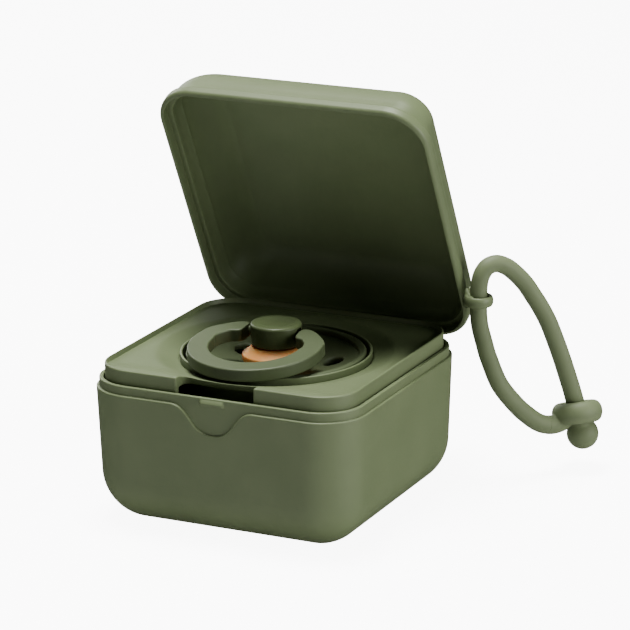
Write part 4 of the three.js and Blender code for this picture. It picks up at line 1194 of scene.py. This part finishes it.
def shield_skin():
    bead_inner = SHIELD_RADIUS - SHIELD_BEAD_WIDTH
    under = [(r, shield_under(r)) for r in np.linspace(SHIELD_HOLE_RADIUS, SHIELD_RADIUS - 0.5, 14)]
    inward = np.linspace(bead_inner - 1, SHIELD_HOLE_RADIUS, 14)
    over = [(r, shield_under(r) + SHIELD_THICKNESS) for r in inward]
    crease = shield_under(bead_inner) + SHIELD_THICKNESS - SHIELD_CREASE
    bead = [
        (SHIELD_RADIUS, shield_under(SHIELD_RADIUS) + 0.1, SHIELD_EDGE_ROUND),
        (SHIELD_RADIUS, SHIELD_BEAD_TOP, SHIELD_BEAD_ROUND),
        (bead_inner, SHIELD_BEAD_TOP, SHIELD_BEAD_ROUND),
        (bead_inner, crease, 0.1),
        (bead_inner - SHIELD_CREASE, crease + SHIELD_CREASE / 3, 0.1),
        (bead_inner - 2 * SHIELD_CREASE, shield_under(bead_inner - 2 * SHIELD_CREASE) + SHIELD_THICKNESS),
    ]
    outline = [(*under[0], 0.2), *under[1:], *bead, *over[:-1], (*over[-1], 0.3)]
    shield = turned("shield_blank", rounded(outline, 6), 192)
    vents = []
    mid = shield_under(VENT_CIRCLE_RADIUS) + SHIELD_THICKNESS / 2
    depth = SHIELD_THICKNESS / 2
    slope = 2 * SHIELD_BOWL_RISE * VENT_CIRCLE_RADIUS / SHIELD_RADIUS**2
    for i in range(VENT_COUNT):
        profile = [(0, 6)]
        for height in np.linspace(3, -3, 49):
            past = max(0, abs(height) - depth + VENT_FLARE) / VENT_FLARE
            flare = VENT_FLARE * (1 - math.sqrt(max(0, 1 - min(past, 1) ** 2))) + max(0, past - 1) * 3
            profile.append((VENT_RADIUS + flare, height))
        profile.append((0, -6))
        vent = turned_capped("vent_tool", profile, 64)
        angle = math.radians(VENT_FIRST_DEG + 360 * i / VENT_COUNT)
        place = Vector((VENT_CIRCLE_RADIUS * math.cos(angle), VENT_CIRCLE_RADIUS * math.sin(angle), mid))
        upright = Vector((-slope * math.cos(angle), -slope * math.sin(angle), 1))
        lean = Vector((0, 0, 1)).rotation_difference(upright).to_matrix().to_4x4()
        vent.data.transform(Matrix.Translation(place * MM) @ lean)
        vents.append(vent)
    return even_shading(removed("shield_skin", shield, vents), 30)


def bulb_outline(shrink):
    """Half the teat's outline, from the neck down to the tip."""
    neck = NECK_RADIUS - shrink
    bulb = BULB_RADIUS - shrink
    low = SHOULDER - BULB_REACH + shrink
    middle = SHOULDER - BULB_REACH + BULB_RADIUS
    shoulder = SHOULDER - NECK_LENGTH
    bends = [(neck, shoulder - BULB_CURVE_REACH), (bulb, middle + BULB_CURVE_REACH)]
    curve = bezier([(neck, shoulder), *bends, (bulb, middle)], 16)
    points = [tuple(p) for p in curve]
    for angle in np.linspace(0, RIGHT_ANGLE, 16)[1:]:
        points.append((bulb * math.cos(angle), middle - (middle - low) * math.sin(angle)))
    return points


def teat_skin():
    """The latex teat: its flange under the knob, its neck through the shield and its hollow bulb."""
    seat = shield_under(FLANGE_SEAT_RADIUS) + SHIELD_THICKNESS + TOUCH_GAP
    top = KNOB_FOOT - TOUCH_GAP
    flange = bezier(
        [
            (FLANGE_NECK_RADIUS, top - 0.15),
            (FLANGE_NECK_RADIUS + 0.4, top - 0.8),
            (FLANGE_RADIUS - 0.9, FLANGE_TOP + 0.45),
            (FLANGE_RADIUS - 0.2, FLANGE_TOP + 0.03),
        ],
        14,
    )
    bore = NECK_RADIUS - LATEX_WALL
    head = [(bore, top, 0.15), (FLANGE_NECK_RADIUS - 0.05, top, 0.12), *[tuple(p) for p in flange]]
    head += [(FLANGE_RADIUS, FLANGE_TOP - 0.2), (FLANGE_RADIUS, FLANGE_TOP - FLANGE_EDGE, 0.3)]
    head += [(FLANGE_SEAT_RADIUS, seat, 0.2), (NECK_RADIUS, seat, 0.3)]
    outside = [tuple(p) for p in rounded(head, 4)]
    outline = outside + bulb_outline(0) + bulb_outline(LATEX_WALL)[::-1]
    outline = [(max(r, LEAST_RADIUS), z) for r, z in outline]
    return even_shading(turned("teat_skin", outline, 128), 50)


def knob_skin():
    stem = NECK_RADIUS - LATEX_WALL - TOUCH_GAP
    bottom = KNOB_FOOT - STEM_LENGTH
    side = [
        (stem - TOUCH_GAP, bottom),
        (stem, bottom + TOUCH_GAP),
        (stem, KNOB_FOOT, 0.2),
        (KNOB_RADIUS - KNOB_TAPER, KNOB_FOOT, 0.35),
        (KNOB_RADIUS, KNOB_TOP, KNOB_ROUND),
    ]
    rim_inner = KNOB_RADIUS - KNOB_RIM_WIDTH
    outline = [tuple(p) for p in rounded([(0, bottom), *side, (rim_inner, KNOB_TOP)], 8, closed=False)]
    dish = bezier(
        [
            (rim_inner, KNOB_TOP),
            (rim_inner - 0.7, KNOB_TOP),
            (rim_inner - 1.1, KNOB_TOP - KNOB_DISH_DEPTH),
            (0, KNOB_TOP - KNOB_DISH_DEPTH),
        ],
        16,
    )
    outline += [tuple(p) for p in dish[1:]]
    knob = turned_capped("knob_blank", outline, 160)
    sockets = []
    for sign in (-1, 1):
        section = [
            (HANDLE_PIVOT[1] + SOCKET_HALF_WIDTH * a, HANDLE_PIVOT[2] + SOCKET_HALF_HEIGHT * b)
            for a, b in round_section(1, 48)
        ]
        inner = KNOB_RADIUS - HANDLE_PIN_REACH - 2 * TOUCH_GAP
        length = 6
        sockets.append(bar_along_x("socket_tool", section, length, sign * (inner + length / 2)))
    return even_shading(removed("knob_skin", knob, sockets))


def handle_half():
    """Pairs of outer and inner edge points about the pivot, from the ring's front to its right pin."""
    pairs = []
    centre = np.array((0, -HANDLE_FORWARD))
    for angle in np.linspace(-RIGHT_ANGLE, 0, 60):
        outward = np.array((math.cos(angle), math.sin(angle)))
        lead = math.radians(HANDLE_LEAD_DEG) * (angle / RIGHT_ANGLE + 1)
        ahead = np.array((math.cos(angle + lead), math.sin(angle + lead)))
        inner_radius = HANDLE_RADIUS - HANDLE_WIDTH
        pairs.append((centre + HANDLE_RADIUS * ahead, centre + inner_radius * outward))
    outer = smooth_curve([pairs[-2][0], pairs[-1][0], *HOOK_OUTER], HOOK_SPACING)[1:]
    inner = smooth_curve([pairs[-2][1], pairs[-1][1], *HOOK_INNER], HOOK_SPACING)[1:]
    for share in np.linspace(0, 1, 45)[1:]:
        pairs.append((evenly(outer, share), evenly(inner, share)))
    return pairs


def evenly(curve, share):
    """The point at a share of a curve's length."""
    travelled = np.concatenate([[0], np.cumsum(np.linalg.norm(np.diff(curve, axis=0), axis=1))])
    place = share * travelled[-1]
    return np.array([np.interp(place, travelled, curve[:, k]) for k in (0, 1)])


def handle_section(outer, inner, half_height, edge):
    """A rounded rectangle across the ring, from its outer edge to its inner edge."""
    middle = (outer + inner) / 2
    half = (outer - inner) / 2
    width = np.linalg.norm(half)
    corners = [(width, half_height), (-width, half_height), (-width, -half_height), (width, -half_height)]
    radius = min(edge, width * FULL_ROUND_SHARE, half_height * FULL_ROUND_SHARE)
    loop = rounded([(*corner, radius) for corner in corners], 6)
    return np.column_stack([middle + loop[:, :1] * half / width, loop[:, 1]])


def handle_skin():
    right = handle_half()
    mirrored = [(outer * (-1, 1), inner * (-1, 1)) for outer, inner in right[:0:-1]]
    half_height = HANDLE_THICKNESS / 2
    ring = [handle_section(*pair, half_height, HANDLE_EDGE_ROUND) for pair in mirrored + right]
    left_pin, right_pin = [], []
    tip = KNOB_RADIUS - HANDLE_PIN_REACH
    for x in (HOOK_FACE - HANDLE_PIN_OVERLAP, tip + HANDLE_PIN_ROUND, tip):
        radius = HANDLE_PIN_RADIUS - (HANDLE_PIN_ROUND if x == tip else 0)
        for side, pin in ((-1, left_pin), (1, right_pin)):
            outer = np.array((side * x, radius))
            pin.append(handle_section(outer, outer * (1, -1), radius, radius))
    made = capped_loft("handle_skin", left_pin[::-1] + ring + right_pin)
    made = baked("handle_skin", edge_rounded(made, HANDLE_END_ROUND, HANDLE_END_DEG))
    pivot = Vector(HANDLE_PIVOT) * MM
    made.data.transform(Matrix.Translation(pivot) @ Matrix.Rotation(HANDLE_REST_ANGLE, 4, "X"))
    return even_shading(made)


pacifier_pieces = {
    "pacifier_shield": (shield_skin(), "sage_plastic", "pacifier"),
    "pacifier_nipple": (teat_skin(), "amber_latex", "pacifier"),
    "pacifier_knob": (knob_skin(), "dark_sage_plastic", "pacifier"),
    "pacifier_handle": (handle_skin(), "sage_plastic", "handle"),
}
for node, (piece, slot, body) in pacifier_pieces.items():
    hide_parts(node)
    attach(piece, body)

# Materials


def set_inputs(node, **values):
    """Sets a node's inputs. An underscore in a name stands for a space."""
    for name, value in values.items():
        node.inputs[name.replace("_", " ")].default_value = value
    return node


def add_node(tree, kind, **values):
    return set_inputs(tree.nodes.new("ShaderNode" + kind), **values)


def node_material(name):
    material = bpy.data.materials.new(name)
    material.use_nodes = True
    tree = material.node_tree
    return material, tree, tree.nodes["Principled BSDF"]


CLOUD_SCALE = 60
CLOUD_EDGE_SHARES = (0.3, 0.7)
GLOSS_SPREAD = 0.06
GRAIN_STRENGTH = 0.6


def moulded(name, dark, light, roughness, grain_mm, grain_depth_mm, specular):
    """Moulded plastic or rubber: mottled colour, and a fine texture in its gloss and surface."""
    material, tree, shader = node_material(name)
    place = add_node(tree, "TexCoord")
    cloud = add_node(tree, "TexNoise", Scale=CLOUD_SCALE, Detail=3)
    ramp = add_node(tree, "ValToRGB")
    for element, share, colour in zip(ramp.color_ramp.elements, CLOUD_EDGE_SHARES, (dark, light)):
        element.position = share
        element.color = (*colour, 1)
    grain = add_node(tree, "TexNoise", Scale=1 / (grain_mm * MM), Detail=2)
    gloss = add_node(tree, "MapRange", To_Min=roughness - GLOSS_SPREAD, To_Max=roughness + GLOSS_SPREAD)
    bump = add_node(tree, "Bump", Strength=GRAIN_STRENGTH, Distance=grain_depth_mm * MM)
    links = (
        (place, "Object", cloud, "Vector"),
        (place, "Object", grain, "Vector"),
        (cloud, "Fac", ramp, "Fac"),
        (ramp, "Color", shader, "Base Color"),
        (grain, "Fac", gloss, "Value"),
        (gloss, "Result", shader, "Roughness"),
        (grain, "Fac", bump, "Height"),
        (bump, "Normal", shader, "Normal"),
    )
    for source, output, target, entry in links:
        tree.links.new(source.outputs[output], target.inputs[entry])
    set_inputs(shader, Specular_IOR_Level=specular)
    return material


# Each finish: its darker and lighter colour, roughness, size and depth of its grain, and specular level
FINISHES = {
    "sage_plastic": ((0.150, 0.184, 0.097), (0.165, 0.200, 0.108), 0.5, 0.35, 0.012, 0.5),
    "deep_plastic": ((0.076, 0.098, 0.044), (0.085, 0.108, 0.050), 0.45, 0.35, 0.010, 0.4),
    "pacifier_plastic": ((0.088, 0.110, 0.057), (0.097, 0.120, 0.064), 0.48, 0.35, 0.010, 0.45),
    "sage_silicone": ((0.150, 0.181, 0.098), (0.165, 0.197, 0.108), 0.62, 0.5, 0.006, 0.5),
    "amber_latex": ((0.54, 0.258, 0.092), (0.60, 0.298, 0.110), 0.55, 0.8, 0.006, 0.25),
}
LATEX_SUBSURFACE_SHARE = 0.3
LATEX_SUBSURFACE_METRES = 0.003
materials = {name: moulded(name, *finish) for name, finish in FINISHES.items()}
set_inputs(
    materials["amber_latex"].node_tree.nodes["Principled BSDF"],
    Subsurface_Weight=LATEX_SUBSURFACE_SHARE,
    Subsurface_Scale=LATEX_SUBSURFACE_METRES,
)

# The pacifier's sage pieces are darker than the box, in the same slot
PACIFIER_FINISHES = {
    "sage_plastic": "pacifier_plastic",
    "dark_sage_plastic": "deep_plastic",
    "amber_latex": "amber_latex",
}


def dress(made, material):
    made.data.materials.clear()
    made.data.materials.append(material)


for piece in (*strap_pieces, *strap_ends):
    dress(piece, materials["sage_silicone"])
for piece in (base_piece, *base_knuckle_pieces, hinge_pin_piece, lid_piece, *lid_parts, tray_piece):
    dress(piece, materials["sage_plastic"])
for piece, slot, body in pacifier_pieces.values():
    dress(piece, materials[PACIFIER_FINISHES[slot]])

# Stage: a pale floor and soft studio light

WHITE = (1, 1, 1, 1)
SEEN_WHITE = 4.5
FLOOR_GLOW = 0.38
FLOOR_GREY = (0.5, 0.5, 0.5, 1)
FLOOR_HALF = 4000
WORLD_GLOW = 0.02

# Each softbox: its place, its size and its power in watts
LIGHT_TARGET = (0, 0, 40)
SOFTBOXES = {
    "top_softbox": ((-60, 40, 900), (300, 300), 11.5),
    "left_back_softbox": ((-700, 500, 400), (500, 500), 3),
    "right_softbox": ((900, -50, 250), (500, 500), 5.4),
    "front_softbox": ((0, -900, 60), (600, 300), 0.55),
}


def seen_or_lit(tree, lit, seen):
    """A strength that is one value for the camera and another for the light on the object."""
    path = add_node(tree, "LightPath")
    strength = add_node(tree, "MapRange", To_Min=lit, To_Max=seen)
    tree.links.new(path.outputs["Is Camera Ray"], strength.inputs["Value"])
    return strength.outputs["Result"]


def make_floor():
    corners = [(a * FLOOR_HALF, b * FLOOR_HALF, 0) for a, b in ((-1, -1), (1, -1), (1, 1), (-1, 1))]
    floor = mesh_object("floor", corners, [(0, 1, 2, 3)])
    material, tree, shader = node_material("floor_paper")
    set_inputs(shader, Base_Color=FLOOR_GREY, Roughness=0.9, Specular_IOR_Level=0.1, Emission_Color=WHITE)
    glow = seen_or_lit(tree, FLOOR_GLOW, SEEN_WHITE)
    tree.links.new(glow, shader.inputs["Emission Strength"])
    dress(floor, material)
    floor.visible_glossy = False


def softbox(name, place, size, watts):
    data = bpy.data.lights.new(name, "AREA")
    data.shape = "RECTANGLE"
    data.size, data.size_y = (v * MM for v in size)
    data.energy = watts
    lamp = placed(name, data)
    ahead = (Vector(LIGHT_TARGET) - Vector(place)).normalized()
    turn = ahead.to_track_quat("-Z", "Y").to_matrix().to_4x4()
    lamp.matrix_world = Matrix.Translation(Vector(place) * MM) @ turn


def make_lights():
    world = bpy.data.worlds.new("studio")
    world.use_nodes = True
    tree = world.node_tree
    background = set_inputs(tree.nodes["Background"], Color=WHITE)
    tree.links.new(seen_or_lit(tree, WORLD_GLOW, SEEN_WHITE), background.inputs["Strength"])
    bpy.context.scene.world = world
    bpy.context.scene.view_settings.look = "AgX - Medium High Contrast"
    for name, settings in SOFTBOXES.items():
        softbox(name, *settings)


make_floor()
make_lights()
